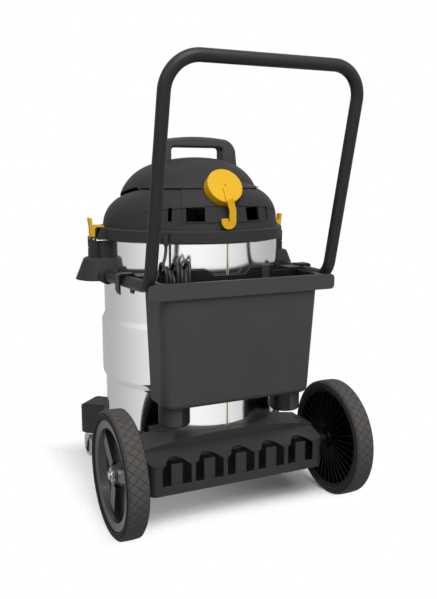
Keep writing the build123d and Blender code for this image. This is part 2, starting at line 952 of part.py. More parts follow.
# Left wheel: rubber tyre and spoked hub
wheel_plane = Plane((0, axis_y + axle_y, axle_z), x_dir=(1, 0, 0), z_dir=(0, -1, 0))
wheel_axis = Axis((0, axis_y + axle_y, axle_z), (1, 0, 0))
tread = wheel_radius - tyre_crown
shoulder = wheel_radius - tyre_shoulder_drop
bulge = bead_radius + tyre_bulge
with BuildPart() as tyre_left:
    with BuildSketch(wheel_plane):
        with BuildLine():
            Line((wheel_inner + tyre_bead, bead_radius), (wheel_outer - tyre_bead, bead_radius))
            ThreePointArc(
                (wheel_outer - tyre_bead, bead_radius),
                (wheel_outer, bulge),
                (wheel_outer - tyre_edge, shoulder),
            )
            Line((wheel_outer - tyre_edge, shoulder), (wheel_outer - tyre_shoulder, tread))
            ThreePointArc(
                (wheel_outer - tyre_shoulder, tread),
                (wheel_mid, wheel_radius),
                (wheel_inner + tyre_shoulder, tread),
            )
            Line((wheel_inner + tyre_shoulder, tread), (wheel_inner + tyre_edge, shoulder))
            ThreePointArc(
                (wheel_inner + tyre_edge, shoulder),
                (wheel_inner, bulge),
                (wheel_inner + tyre_bead, bead_radius),
            )
        make_face()
    revolve(axis=wheel_axis)
tyre_left.part.label = "tyre_left"
export_step(tyre_left.part, "parts/tyre_left.step")

web_x = wheel_mid - hub_web
spoke_middle = (hub_boss + hub_mouth) / 2
spoke_length = hub_mouth - hub_boss
fin_middle = (hub_boss + hub_rim) / 2
fin_length = hub_rim - hub_boss
with BuildPart() as hub_left:
    with BuildSketch(wheel_plane):
        with BuildLine():
            Polyline(
                (hub_inner, axle_radius + axle_clearance),
                (hub_boss_end, axle_radius + axle_clearance),
                (hub_boss_end, hub_boss - hub_taper),
                (wheel_mid + hub_taper, hub_boss),
                (wheel_mid, hub_boss + hub_taper),
                (wheel_mid, hub_mouth - hub_flare),
                (wheel_outer - hub_flare, hub_mouth),
                (wheel_outer - tyre_bead, bead_radius),
                (wheel_inner + tyre_bead, bead_radius),
                (wheel_inner + tyre_bead, hub_rim),
                (web_x, hub_rim - hub_flare / 2),
                (web_x, hub_boss),
                (hub_inner, hub_boss - hub_taper),
                (hub_inner, axle_radius + axle_clearance),
            )
        make_face()
    revolve(axis=wheel_axis)
    with BuildSketch(profile.offset(wheel_mid)):
        with Locations((axle_y, axle_z)):
            with PolarLocations(spoke_middle, spoke_count, spoke_phase):
                Trapezoid(spoke_length + hub_taper, spoke_width, spoke_taper)
    extrude(amount=hub_boss_end - wheel_mid - spoke_drop)
    with BuildSketch(profile.offset(wheel_inner + tyre_bead)):
        with Locations((axle_y, axle_z)):
            with PolarLocations(fin_middle, fin_count):
                Rectangle(fin_length, fin_thickness)
    extrude(amount=web_x - wheel_inner - tyre_bead)
hub_left.part.label = "hub_left"
export_step(hub_left.part, "parts/hub_left.step")

with BuildPart() as tyre_right:
    mirror(tyre_left.part, about=Plane.YZ)
tyre_right.part.label = "tyre_right"
export_step(tyre_right.part, "parts/tyre_right.step")

with BuildPart() as hub_right:
    mirror(hub_left.part, about=Plane.YZ)
hub_right.part.label = "hub_right"
export_step(hub_right.part, "parts/hub_right.step")

# Casters: a steel fork on a stem, a pin, a plastic core and a grey tyre
caster_hub = (caster_hub_y, caster_radius)
fork_top = fork_crown_high - fork_plate
fork_side = caster_x + fork_gap / 2
with BuildPart() as caster_fork_left:
    with BuildSketch(floor.offset(fork_crown_low)):
        with Locations((caster_x, caster_y)):
            Circle(fork_crown)
    extrude(amount=fork_crown_high - fork_crown_low)
    with BuildSketch(floor.offset(fork_crown_high)):
        with Locations((caster_x, caster_y)):
            Circle(stem_radius)
    extrude(amount=stem_top - fork_crown_high)
    with BuildSketch(profile.offset(fork_side)):
        with BuildLine():
            Polyline(
                (caster_y + fork_bridge / 2, fork_top),
                (caster_y - fork_bridge / 2, fork_top),
                (caster_hub_y - fork_tip, caster_radius),
            )
            ThreePointArc(
                (caster_hub_y - fork_tip, caster_radius),
                (caster_hub_y, caster_radius - fork_tip),
                (caster_hub_y + fork_tip, caster_radius),
            )
            Line((caster_hub_y + fork_tip, caster_radius), (caster_y + fork_bridge / 2, fork_top))
        make_face()
    cheek = extrude(amount=fork_plate)
    mirror(cheek, about=Plane((caster_x, 0, 0), x_dir=(0, 1, 0), z_dir=(1, 0, 0)))
    with BuildSketch(floor.offset(fork_crown_low)):
        with Locations((caster_x, caster_y)):
            Rectangle(fork_gap + 2 * fork_plate, fork_bridge)
    extrude(amount=fork_top - fork_crown_low)
caster_fork_left.part.label = "caster_fork_left"
export_step(caster_fork_left.part, "parts/caster_fork_left.step")

with BuildPart() as caster_pin_left:
    with BuildSketch(profile.offset(caster_x - fork_gap / 2)):
        with Locations(caster_hub):
            Circle(caster_axle)
    extrude(amount=fork_gap)
caster_pin_left.part.label = "caster_pin_left"
export_step(caster_pin_left.part, "parts/caster_pin_left.step")

caster_centre = (caster_x, axis_y + caster_hub_y, caster_radius)
caster_plane = Plane(caster_centre, x_dir=(1, 0, 0), z_dir=(0, -1, 0))
caster_axis = Axis(caster_centre, (1, 0, 0))
caster_half = caster_width / 2
with BuildPart() as caster_core_left:
    with BuildSketch(caster_plane):
        Polygon(
            (-caster_half, caster_axle + pivot_clearance),
            (caster_half, caster_axle + pivot_clearance),
            (caster_half, caster_hub_radius),
            (caster_half - caster_dish, caster_hub_radius + caster_side),
            (caster_half - caster_dish, caster_core - caster_dish),
            (caster_half - caster_side, caster_core),
            (caster_side - caster_half, caster_core),
            (caster_dish - caster_half, caster_core - caster_dish),
            (caster_dish - caster_half, caster_hub_radius + caster_side),
            (-caster_half, caster_hub_radius),
            align=None,
        )
    revolve(axis=caster_axis)
caster_core_left.part.label = "caster_core_left"
export_step(caster_core_left.part, "parts/caster_core_left.step")

with BuildPart() as caster_tyre_left:
    with BuildSketch(caster_plane):
        with BuildLine():
            Polyline(
                (caster_side + caster_edge - caster_half, caster_radius - caster_side),
                (caster_side - caster_half, caster_radius - caster_edge),
                (caster_side - caster_half, caster_core),
                (caster_half - caster_side, caster_core),
                (caster_half - caster_side, caster_radius - caster_edge),
                (caster_half - caster_side - caster_edge, caster_radius - caster_side),
            )
            ThreePointArc(
                (caster_half - caster_side - caster_edge, caster_radius - caster_side),
                (0, caster_radius),
                (caster_side + caster_edge - caster_half, caster_radius - caster_side),
            )
        make_face()
    revolve(axis=caster_axis)
caster_tyre_left.part.label = "caster_tyre_left"
export_step(caster_tyre_left.part, "parts/caster_tyre_left.step")

with BuildPart() as caster_fork_right:
    mirror(caster_fork_left.part, about=Plane.YZ)
caster_fork_right.part.label = "caster_fork_right"
export_step(caster_fork_right.part, "parts/caster_fork_right.step")

with BuildPart() as caster_pin_right:
    mirror(caster_pin_left.part, about=Plane.YZ)
caster_pin_right.part.label = "caster_pin_right"
export_step(caster_pin_right.part, "parts/caster_pin_right.step")

with BuildPart() as caster_core_right:
    mirror(caster_core_left.part, about=Plane.YZ)
caster_core_right.part.label = "caster_core_right"
export_step(caster_core_right.part, "parts/caster_core_right.step")

with BuildPart() as caster_tyre_right:
    mirror(caster_tyre_left.part, about=Plane.YZ)
caster_tyre_right.part.label = "caster_tyre_right"
export_step(caster_tyre_right.part, "parts/caster_tyre_right.step")

with BuildPart() as caster_bushes:
    with BuildSketch(floor.offset(foot_under)):
        with Locations((caster_x, caster_y), (-caster_x, caster_y)):
            Circle(bush_radius)
            Circle(stem_radius + pivot_clearance, mode=Mode.SUBTRACT)
    extrude(amount=stem_length)
caster_bushes.part.label = "caster_bushes"
export_step(caster_bushes.part, "parts/caster_bushes.step")

# Push handle: up from one side handle, across the grip and down to the other
handle_points = [
    (run_end_x, axis_y + run_end_y, run_end_z),
    (leg_x, axis_y + leg_foot_y, leg_foot_z),
    (leg_x, axis_y + grip_y, grip_z),
    (-leg_x, axis_y + grip_y, grip_z),
    (-leg_x, axis_y + leg_foot_y, leg_foot_z),
    (-run_end_x, axis_y + run_end_y, run_end_z),
]
with BuildPart() as push_handle:
    with BuildLine():
        handle_path = FilletPolyline(
            *handle_points, radius=[leg_bend, grip_corner, grip_corner, leg_bend]
        )
    with BuildSketch(Plane(handle_path @ 0, z_dir=handle_path % 0)):
        Circle(tube_radius)
        Circle(tube_radius - tube_wall, mode=Mode.SUBTRACT)
    sweep()
push_handle.part.label = "push_handle"
export_step(push_handle.part, "parts/push_handle.step")

# Side handle: a flared grip, a neck and a two-cheeked latch catch on the drum's side
with BuildPart() as side_handle_left:
    with BuildSketch(floor.offset(bell_low)):
        with BuildLine():
            ThreePointArc(
                (bell_low_corner, bell_sweep - bell_low_half),
                (bell_low_out, 0),
                (bell_low_corner, bell_low_half - bell_sweep),
            )
            Polyline(
                (bell_low_corner, bell_low_half - bell_sweep),
                (bell_in, bell_low_half),
                (bell_in, -bell_low_half),
                (bell_low_corner, bell_sweep - bell_low_half),
            )
        make_face()
    with BuildSketch(floor.offset(bell_top)):
        with BuildLine():
            ThreePointArc(
                (bell_top_corner, bell_sweep - bell_top_half),
                (bell_top_out, 0),
                (bell_top_corner, bell_top_half - bell_sweep),
            )
            Polyline(
                (bell_top_corner, bell_top_half - bell_sweep),
                (bell_in, bell_top_half),
                (bell_in, -bell_top_half),
                (bell_top_corner, bell_sweep - bell_top_half),
            )
        make_face()
    loft()
    crown = side_handle_left.faces().sort_by(Axis.Z)[-1].edges().filter_by(
        lambda edge: edge.center().X > bell_in + 1
    )
    fillet(crown, bell_dome)
    # finger space, open below
    with BuildSketch(floor.offset(bell_low)):
        with BuildLine():
            ThreePointArc(
                (bell_low_corner - bell_wall, bell_cheek - bell_low_half),
                (bell_low_out - bell_wall, 0),
                (bell_low_corner - bell_wall, bell_low_half - bell_cheek),
            )
            Polyline(
                (bell_low_corner - bell_wall, bell_low_half - bell_cheek),
                (bell_cavity_in, bell_low_half - bell_cheek),
                (bell_cavity_in, bell_cheek - bell_low_half),
                (bell_low_corner - bell_wall, bell_cheek - bell_low_half),
            )
        make_face()
    with BuildSketch(floor.offset(bell_top - 2 * bell_wall)):
        with BuildLine():
            ThreePointArc(
                (bell_top_corner - bell_wall, bell_cheek - bell_top_half),
                (bell_top_out - 2 * bell_wall, 0),
                (bell_top_corner - bell_wall, bell_top_half - bell_cheek),
            )
            Polyline(
                (bell_top_corner - bell_wall, bell_top_half - bell_cheek),
                (bell_cavity_in, bell_top_half - bell_cheek),
                (bell_cavity_in, bell_cheek - bell_top_half),
                (bell_top_corner - bell_wall, bell_cheek - bell_top_half),
            )
        make_face()
    loft(mode=Mode.SUBTRACT)
    # neck and latch catch
    with BuildSketch(floor.offset(bell_top - bell_wall)):
        with Locations(((bell_in + neck_out) / 2, 0)):
            Rectangle(neck_out - bell_in, 2 * neck_half)
    extrude(amount=neck_top - bell_top + bell_wall)
    with BuildSketch(floor.offset(bell_top - bell_dome)):
        with Locations(((neck_out + catch_out) / 2 - catch_lap / 2, 0)):
            Rectangle(catch_out - neck_out + catch_lap, 2 * catch_half)
    extrude(amount=neck_top - bell_top + bell_dome)
    with BuildSketch(floor.offset(neck_top)):
        with Locations(((catch_in + catch_out) / 2, 0)):
            Rectangle(catch_out - catch_in, 2 * catch_half)
    extrude(amount=catch_top - neck_top)
    with BuildSketch(floor.offset(latch_z - latch_eye - latch_under)):
        with Locations((latch_x, 0)):
            Rectangle(catch_out - neck_out + 2 * latch_eye, latch_width + 2 * latch_side_gap)
    extrude(amount=catch_top - neck_top + 2 * latch_eye, mode=Mode.SUBTRACT)
    with BuildSketch(floor.offset(catch_groove_z)):
        with Locations((catch_out, 0)):
            Rectangle(2 * catch_groove, 4 * catch_half)
    extrude(amount=catch_groove_height, mode=Mode.SUBTRACT)
    # pin hole through both cheeks
    with BuildSketch(section.offset(-latch_width)):
        with Locations((latch_x, latch_z)):
            Circle(latch_pin)
    extrude(amount=2 * latch_width, mode=Mode.SUBTRACT)
    # socket for the end of the push handle
    with BuildSketch(section.offset(-tube_socket_rear)):
        with Locations((run_end_x, run_end_z)):
            Circle(tube_socket_radius)
    extrude(amount=tube_socket_rear - run_end_y + tube_socket_front)
    with BuildSketch(floor):
        Circle(drum_radius)
    extrude(amount=drum_rim, mode=Mode.SUBTRACT)
    with BuildSketch(Plane(handle_path @ 0, z_dir=handle_path % 0)):
        Circle(tube_radius)
    extrude(amount=tube_socket_rear, mode=Mode.SUBTRACT)
side_handle_left.part.label = "side_handle_left"
export_step(side_handle_left.part, "parts/side_handle_left.step")

with BuildPart() as side_handle_right:
    mirror(side_handle_left.part, about=Plane.YZ)
side_handle_right.part.label = "side_handle_right"
export_step(side_handle_right.part, "parts/side_handle_right.step")

with BuildPart() as handle_screws:
    for side in (1, -1):
        with BuildSketch(profile.offset(side * (drum_radius - 3 * handle_screw_rise))):
            with Locations((handle_screw_y, handle_screw_z), (-handle_screw_y, handle_screw_z)):
                Circle(handle_screw_head)
        extrude(amount=side * 3 * handle_screw_rise)
    with BuildSketch(floor):
        Circle(drum_radius - drum_wall)
        Circle(drum_radius - drum_wall - handle_screw_rise, mode=Mode.SUBTRACT)
    extrude(amount=drum_rim, mode=Mode.INTERSECT)
handle_screws.part.label = "handle_screws"
export_step(handle_screws.part, "parts/handle_screws.step")

# Latches: a lever on a pin, its arm reaching over the lid's lug
with BuildPart() as latch_left:
    with BuildSketch(section.offset(-latch_width / 2)):
        with BuildLine():
            Polyline(
                (latch_x + latch_eye, latch_z),
                (latch_x + latch_eye, lid_top),
                (tab_out, tab_top - latch_tab_round),
            )
            ThreePointArc(
                (tab_out, tab_top - latch_tab_round),
                (tab_out - latch_tab_width / 2, tab_top),
                (tab_out - latch_tab_width, tab_top - latch_tab_round),
            )
            Polyline(
                (tab_out - latch_tab_width, tab_top - latch_tab_round),
                (latch_x, arm_high),
                (latch_tip + latch_tip_width, arm_high),
                (latch_tip, arm_high - latch_tab_round),
                (latch_tip, arm_low),
                (latch_x - latch_eye, arm_low),
                (latch_x - latch_eye, latch_z),
            )
            ThreePointArc(
                (latch_x - latch_eye, latch_z),
                (latch_x, latch_z - latch_eye),
                (latch_x + latch_eye, latch_z),
            )
        make_face()
        with Locations((latch_x, latch_z)):
            Circle(latch_pin + pivot_clearance, mode=Mode.SUBTRACT)
    extrude(amount=latch_width)
latch_left.part.label = "latch_left"
export_step(latch_left.part, "parts/latch_left.step")

with BuildPart() as latch_right:
    mirror(latch_left.part, about=Plane.YZ)
latch_right.part.label = "latch_right"
export_step(latch_right.part, "parts/latch_right.step")

with BuildPart() as latch_pins:
    with BuildSketch(section.offset(-catch_half)):
        with Locations((latch_x, latch_z), (-latch_x, latch_z)):
            Circle(latch_pin)
    extrude(amount=2 * catch_half)
latch_pins.part.label = "latch_pins"
export_step(latch_pins.part, "parts/latch_pins.step")

# Lid with two notched lugs
with BuildPart() as lid:
    with BuildSketch(section):
        Polygon(
            (lid_port, lid_under),
            (lid_spigot_radius - lid_spigot_wall, lid_under),
            (lid_spigot_radius - lid_spigot_wall, lid_spigot_low),
            (lid_spigot_radius, lid_spigot_low),
            (lid_spigot_radius, lid_seat),
            (lid_inside, lid_seat),
            (lid_inside, lid_low),
            (lid_radius, lid_low),
            (lid_radius - lid_draft, lid_top - lid_bevel_drop),
            (lid_radius - lid_bevel, lid_top),
            (lid_port, lid_top),
            align=None,
        )
    revolve(axis=drum_axis)
    with BuildSketch(section.offset(-lid_lug_half)):
        for side in (1, -1):
            Polygon(
                (side * (lid_inside - lid_lug_lap), lid_low),
                (side * lid_lug_low_out, lid_low),
                (side * lid_lug_top_out, lid_top),
                (side * (lid_inside - lid_lug_lap), lid_top),
                align=None,
            )
    extrude(amount=2 * lid_lug_half)
    with BuildSketch(floor.offset(lid_low)):
        Circle(lid_inside)
        Circle(lid_spigot_radius, mode=Mode.SUBTRACT)
    extrude(amount=lid_seat - lid_low, mode=Mode.SUBTRACT)
    with BuildSketch(floor.offset(lid_low)):
        with Locations((lid_notch_in + lid_radius / 2, 0), (-lid_notch_in - lid_radius / 2, 0)):
            Rectangle(lid_radius, 2 * lid_notch_half)
    extrude(amount=lid_top - lid_low, mode=Mode.SUBTRACT)
    with BuildSketch(floor.offset(lid_under)):
        with PolarLocations(head_screw_circle, head_screw_count):
            Circle(head_screw_shank)
    extrude(amount=lid_plate, mode=Mode.SUBTRACT)
lid.part.label = "lid"
export_step(lid.part, "parts/lid.step")

with BuildPart() as lid_gasket:
    with BuildSketch(floor.offset(drum_rim + rim_roll)):
        Circle(gasket_outer)
        Circle(gasket_inner, mode=Mode.SUBTRACT)
    extrude(amount=lid_seat - drum_rim - rim_roll)
lid_gasket.part.label = "lid_gasket"
export_step(lid_gasket.part, "parts/lid_gasket.step")

# Frames of the leaning head and of the blower port
lean_sin = math.sin(math.radians(head_tilt))
lean_cos = math.cos(math.radians(head_tilt))
head_origin = (0, axis_y, lid_top)
head_axis = Axis(head_origin, (0, -lean_sin, lean_cos))
port_sin = math.sin(math.radians(port_tilt))
port_cos = math.cos(math.radians(port_tilt))
cap_face = Plane((0, axis_y + port_y, port_z), x_dir=(-1, 0, 0), z_dir=(0, port_cos, port_sin))
port_base = cap_face.offset(-cap_length - cap_gap)


def leaning_plane(angle):
    """Plane through the leaning head's axis, its first direction at this angle from +X."""
    turn = math.radians(angle)
    along = (math.cos(turn), math.sin(turn) * lean_cos, math.sin(turn) * lean_sin)
    normal = (math.sin(turn), -math.cos(turn) * lean_cos, -math.cos(turn) * lean_sin)
    return Plane(head_origin, x_dir=along, z_dir=normal)


head_section = leaning_plane(0)


def shoulder(out):
    """Points of the housing's rounded shoulder, moved outwards."""
    return [
        (housing_shoulder + out, housing_shoulder_h),
        (housing_mid + 0.8 * out, housing_mid_h + 0.7 * out),
        (ledge_radius, ledge_h + out),
    ]


def hood_outline(inset):
    """Points of the hood's half section, set in by the shell's thickness."""
    return [
        (hood_lip - inset, hood_lip_h),
        (hood_side - inset, hood_side_h - inset / 3),
        (hood_mid - 0.8 * inset, hood_mid_h - 0.7 * inset),
        (hood_brow - 0.5 * inset, hood_brow_h - inset),
        (0, hood_top_h - inset),
    ]


# Filled shape of the hood, used to seat what stands on it
lip, side_end, mid, brow, crown_point = hood_outline(0)
with BuildPart() as hood_form:
    with BuildSketch(head_section):
        with BuildLine():
            Line(lip, side_end)
            ThreePointArc(side_end, mid, brow)
            TangentArc(crown_point, brow, tangent=(1, 0))
            Polyline(crown_point, (0, 0), (hood_lip, 0), lip)
        make_face()
    revolve(axis=head_axis)

# Raised panel on the housing's rear, from above the lid to under the hood's apron
with BuildPart() as rear_panel:
    with BuildSketch(leaning_plane(90 - panel_span / 2)):
        with BuildLine():
            outer_edge = ThreePointArc(*shoulder(panel_proud))
            inner_edge = ThreePointArc(*shoulder(-shell / 2))
            Line(inner_edge @ 1, outer_edge @ 1)
            Polyline(
                outer_edge @ 0,
                (housing_base + panel_proud, -housing_root),
                (housing_base - shell / 2, -housing_root),
                inner_edge @ 0,
            )
        make_face()
    revolve(axis=head_axis, revolution_arc=panel_span)
    split(bisect_by=floor.offset(panel_low), keep=Keep.TOP)
    split(bisect_by=floor.offset(panel_high), keep=Keep.BOTTOM)

# Vented housing around the fan
with BuildPart() as vent_housing:
    with BuildSketch(head_section):
        with BuildLine():
            Line((housing_base, -housing_root), (housing_shoulder, housing_shoulder_h))
            ThreePointArc(*shoulder(0))
            Polyline(
                (ledge_radius, ledge_h),
                (ledge_inner, ledge_h),
                (ledge_inner, ledge_h - shell),
                (ledge_radius, ledge_h - shell),
            )
            ThreePointArc(*shoulder(-shell))
            Polyline(
                (housing_shoulder - shell, housing_shoulder_h),
                (housing_base - shell, -housing_root),
                (housing_base, -housing_root),
            )
        make_face()
    revolve(axis=head_axis)
    split(bisect_by=floor.offset(lid_top), keep=Keep.TOP)
    with BuildSketch(floor.offset(lid_top)):
        Circle(housing_flange_outer)
        Circle(housing_flange_inner, mode=Mode.SUBTRACT)
    extrude(amount=housing_flange)
    with BuildSketch(floor.offset(lid_top)):
        with PolarLocations(head_screw_circle, head_screw_count):
            Circle(head_screw_shank)
    extrude(amount=housing_flange, mode=Mode.SUBTRACT)
    add(rear_panel.part)
    for angle in vent_angles:
        with BuildSketch(facing(angle, (vent_low + vent_high) / 2).offset(ledge_radius)):
            Rectangle(vent_width, vent_high - vent_low)
        extrude(amount=lid_radius - ledge_radius, mode=Mode.SUBTRACT)
    for angle in slit_angles:
        with BuildSketch(facing(angle, (vent_low + vent_high) / 2).offset(ledge_radius)):
            Rectangle(slit_width, vent_high - vent_low)
        extrude(amount=lid_radius - ledge_radius, mode=Mode.SUBTRACT)
    # parting line across the rear, above the vents
    with BuildSketch(leaning_plane(90 - seam_span / 2)):
        with Locations((housing_shoulder + panel_proud, housing_shoulder_h)):
            Rectangle(2 * (panel_proud + seam_groove), seam_groove)
    revolve(axis=head_axis, revolution_arc=seam_span, mode=Mode.SUBTRACT)
    with BuildSketch(port_base.offset(-port_collar_depth)):
        Circle(port_collar)
    extrude(amount=3 * port_collar_depth, mode=Mode.SUBTRACT)
vent_housing.part.label = "vent_housing"
export_step(vent_housing.part, "parts/vent_housing.step")

with BuildPart() as head_screws:
    with BuildSketch(floor.offset(lid_under)):
        with PolarLocations(head_screw_circle, head_screw_count):
            Circle(head_screw_shank)
    extrude(amount=lid_plate + housing_flange)
    with BuildSketch(floor.offset(lid_under)):
        with PolarLocations(head_screw_circle, head_screw_count):
            Circle(head_screw_head)
    extrude(amount=-housing_flange)
head_screws.part.label = "head_screws"
export_step(head_screws.part, "parts/head_screws.step")

# Motor hood with an apron over the housing's rear and a breathing slot low on each side
in_lip, in_side, in_mid, in_brow, in_crown = hood_outline(shell)
switch_y = -switch_r * lean_cos - switch_h * lean_sin
switch_z = lid_top - switch_r * lean_sin + switch_h * lean_cos
switch_rise = math.radians(switch_pitch - head_tilt)
switch_plane = Plane(
    (0, axis_y + switch_y, switch_z),
    x_dir=(1, 0, 0),
    z_dir=(0, -math.cos(switch_rise), math.sin(switch_rise)),
)
with BuildPart() as hood_apron:
    with BuildSketch(leaning_plane(90 - apron_span / 2)):
        with BuildLine():
            inner_edge = ThreePointArc(*shoulder(apron_gap))
            outer_edge = ThreePointArc(*shoulder(apron_gap + apron_wall))
            Line(inner_edge @ 1, outer_edge @ 1)
            Line(inner_edge @ 0, outer_edge @ 0)
        make_face()
    revolve(axis=head_axis, revolution_arc=apron_span)
    split(bisect_by=floor.offset(apron_low), keep=Keep.TOP)

with BuildPart() as motor_hood:
    with BuildSketch(head_section):
        with BuildLine():
            Line(lip, side_end)
            ThreePointArc(side_end, mid, brow)
            TangentArc(crown_point, brow, tangent=(1, 0))
            Line(crown_point, in_crown)
            TangentArc(in_crown, in_brow, tangent=(1, 0))
            ThreePointArc(in_brow, in_mid, in_side)
            Polyline(in_side, in_lip, lip)
        make_face()
    revolve(axis=head_axis)
    # inner flange that stands on the housing's ledge
    with BuildSketch(head_section):
        with Locations(((ledge_inner + hood_side) / 2, ledge_h + shell / 2)):
            Rectangle(hood_side - ledge_inner, shell)
    revolve(axis=head_axis)
    add(hood_apron.part)
    with BuildSketch(head_section.offset(-hood_slot_half)):
        with Locations((0, hood_lip_h)):
            Rectangle(3 * hood_lip, 2 * hood_slot_h)
    extrude(amount=2 * hood_slot_half, mode=Mode.SUBTRACT)
    with BuildSketch(port_base.offset(-port_collar_depth)):
        Circle(port_collar)
    extrude(amount=3 * port_collar_depth, mode=Mode.SUBTRACT)
    with BuildSketch(switch_plane.offset(-2 * bezel_depth)):
        Rectangle(switch_width + bezel_border, switch_length + bezel_border)
    extrude(amount=4 * bezel_depth, mode=Mode.SUBTRACT)
motor_hood.part.label = "motor_hood"
export_step(motor_hood.part, "parts/motor_hood.step")

# Carry handle, an arch across the hood
carry_side = carry_half - carry_draft
carry_side_z = carry_top - carry_side_drop
carry_bend = carry_half - carry_corner_mid
carry_bend_z = carry_top - carry_corner_drop
carry_flat = carry_half - carry_corner_in
carry_flat_z = carry_top - carry_crown
with BuildPart() as carry_handle:
    with BuildSketch(section.offset(-carry_y - carry_depth / 2)):
        with BuildLine():
            Line((-carry_half, carry_foot_z), (-carry_side, carry_side_z))
            ThreePointArc(
                (-carry_side, carry_side_z), (-carry_bend, carry_bend_z), (-carry_flat, carry_flat_z)
            )
            ThreePointArc((-carry_flat, carry_flat_z), (0, carry_top), (carry_flat, carry_flat_z))
            ThreePointArc(
                (carry_flat, carry_flat_z), (carry_bend, carry_bend_z), (carry_side, carry_side_z)
            )
            Line((carry_side, carry_side_z), (carry_half, carry_foot_z))
            Line((carry_half, carry_foot_z), (-carry_half, carry_foot_z))
        make_face()
        with BuildLine():
            FilletPolyline(
                (-carry_gap_half, carry_gap_low),
                (-carry_gap_half, carry_gap_top),
                (carry_gap_half, carry_gap_top),
                (carry_gap_half, carry_gap_low),
                radius=carry_gap_round,
            )
            Line((carry_gap_half, carry_gap_low), (-carry_gap_half, carry_gap_low))
        make_face(mode=Mode.SUBTRACT)
    extrude(amount=carry_depth)
    ends = carry_handle.faces().filter_by(Axis.Y)
    fillet(ends.edges().filter_by(lambda edge: edge.center().Z > carry_gap_low), carry_round)
    add(hood_form.part, mode=Mode.SUBTRACT)
carry_handle.part.label = "carry_handle"
export_step(carry_handle.part, "parts/carry_handle.step")

# Blower port: a collar let into the housing, a floor and a neck for the cap
with BuildPart() as blower_port:
    with BuildSketch(port_base.offset(-port_collar_depth)):
        Circle(port_collar)
        Circle(port_collar - shell, mode=Mode.SUBTRACT)
    extrude(amount=port_collar_depth)
    with BuildSketch(port_base.offset(-port_floor)):
        Circle(port_collar)
        Circle(port_bore, mode=Mode.SUBTRACT)
    extrude(amount=port_floor)
    with BuildSketch(port_base.offset(-port_duct_depth)):
        Circle(port_neck)
        Circle(port_bore, mode=Mode.SUBTRACT)
    extrude(amount=port_duct_depth + cap_length - cap_wall)
blower_port.part.label = "blower_port"
export_step(blower_port.part, "parts/blower_port.step")

# Blower cap with its strap hanging from the lower edge and curling to one side
strap_y = port_y + cap_radius * port_sin + strap_thickness
strap_top = port_z - cap_radius * port_cos
with BuildPart() as blower_cap:
    with BuildSketch(cap_face.offset(-cap_length)):
        Circle(cap_radius)
    extrude(amount=cap_length)
    fillet(blower_cap.edges().sort_by(Axis.Y)[-1], cap_wall / 2)
    with BuildSketch(cap_face.offset(-cap_length)):
        Circle(port_neck + cap_clearance)
    extrude(amount=cap_length - cap_wall + cap_clearance, mode=Mode.SUBTRACT)
    with BuildSketch(cap_face.offset(-strap_thickness)):
        with Locations((0, -(cap_radius + strap_start) / 2)):
            Rectangle(strap_width, cap_radius - strap_start + strap_thickness)
    extrude(amount=2 * strap_thickness)
    with BuildSketch(section.offset(-strap_y)):
        with BuildLine():
            FilletPolyline(
                (0, strap_top + 2 * strap_thickness),
                (-strap_bow, strap_low + strap_elbow),
                (-strap_bow, strap_low),
                (strap_hook, strap_low),
                (strap_hook, strap_low + strap_tip),
                radius=strap_curl,
            )
        trace(line_width=strap_width)
    extrude(amount=strap_thickness)
    with BuildSketch(cap_face):
        Circle(cap_dimple)
    extrude(amount=-cap_dimple_depth, mode=Mode.SUBTRACT)
blower_cap.part.label = "blower_cap"
export_step(blower_cap.part, "parts/blower_cap.step")

# Switch bezel and rocker on the hood's front
sleeve_border = bezel_border / 2
rocker_side = Plane(switch_plane.origin, x_dir=switch_plane.y_dir, z_dir=switch_plane.x_dir)
with BuildPart() as switch_bezel:
    with BuildSketch(switch_plane.offset(-bezel_depth)):
        RectangleRounded(
            switch_width + 2 * bezel_border, switch_length + 2 * bezel_border, bezel_border
        )
    extrude(amount=bezel_depth + bezel_rise)
    add(hood_form.part, mode=Mode.SUBTRACT)
    with BuildSketch(switch_plane.offset(-bezel_depth)):
        Rectangle(switch_width + 2 * sleeve_border, switch_length + 2 * sleeve_border)
    extrude(amount=bezel_depth + bezel_rise)
    with BuildSketch(switch_plane.offset(-bezel_depth)):
        Rectangle(switch_width, switch_length)
    extrude(amount=bezel_depth + bezel_rise, mode=Mode.SUBTRACT)
    # pin that carries the rocker
    with BuildSketch(rocker_side.offset(-switch_width / 2)):
        with Locations((0, -rocker_depth / 2)):
            Circle(rocker_pin)
    extrude(amount=switch_width)
switch_bezel.part.label = "switch_bezel"
export_step(switch_bezel.part, "parts/switch_bezel.step")

rocker_half = switch_length / 2 - rocker_end_gap
rocker_width = switch_width - 2 * rocker_gap
rocker_swing = rocker_half * math.sin(math.radians(rocker_throw))
with BuildPart() as power_switch:
    with BuildSketch(rocker_side.offset(-rocker_width / 2)):
        Polygon(
            (-rocker_half, rocker_crown / 2),
            (0, rocker_crown),
            (rocker_half, rocker_crown / 2 + rocker_swing),
            (rocker_half - rocker_gap, -rocker_depth / 2),
            (rocker_keel, -rocker_depth),
            (-rocker_keel, -rocker_depth),
            (rocker_gap - rocker_half, -rocker_depth / 2),
            align=None,
        )
        with Locations((0, -rocker_depth / 2)):
            Circle(rocker_pin + pivot_clearance, mode=Mode.SUBTRACT)
    extrude(amount=rocker_width)
power_switch.part.label = "power_switch"
export_step(power_switch.part, "parts/power_switch.step")

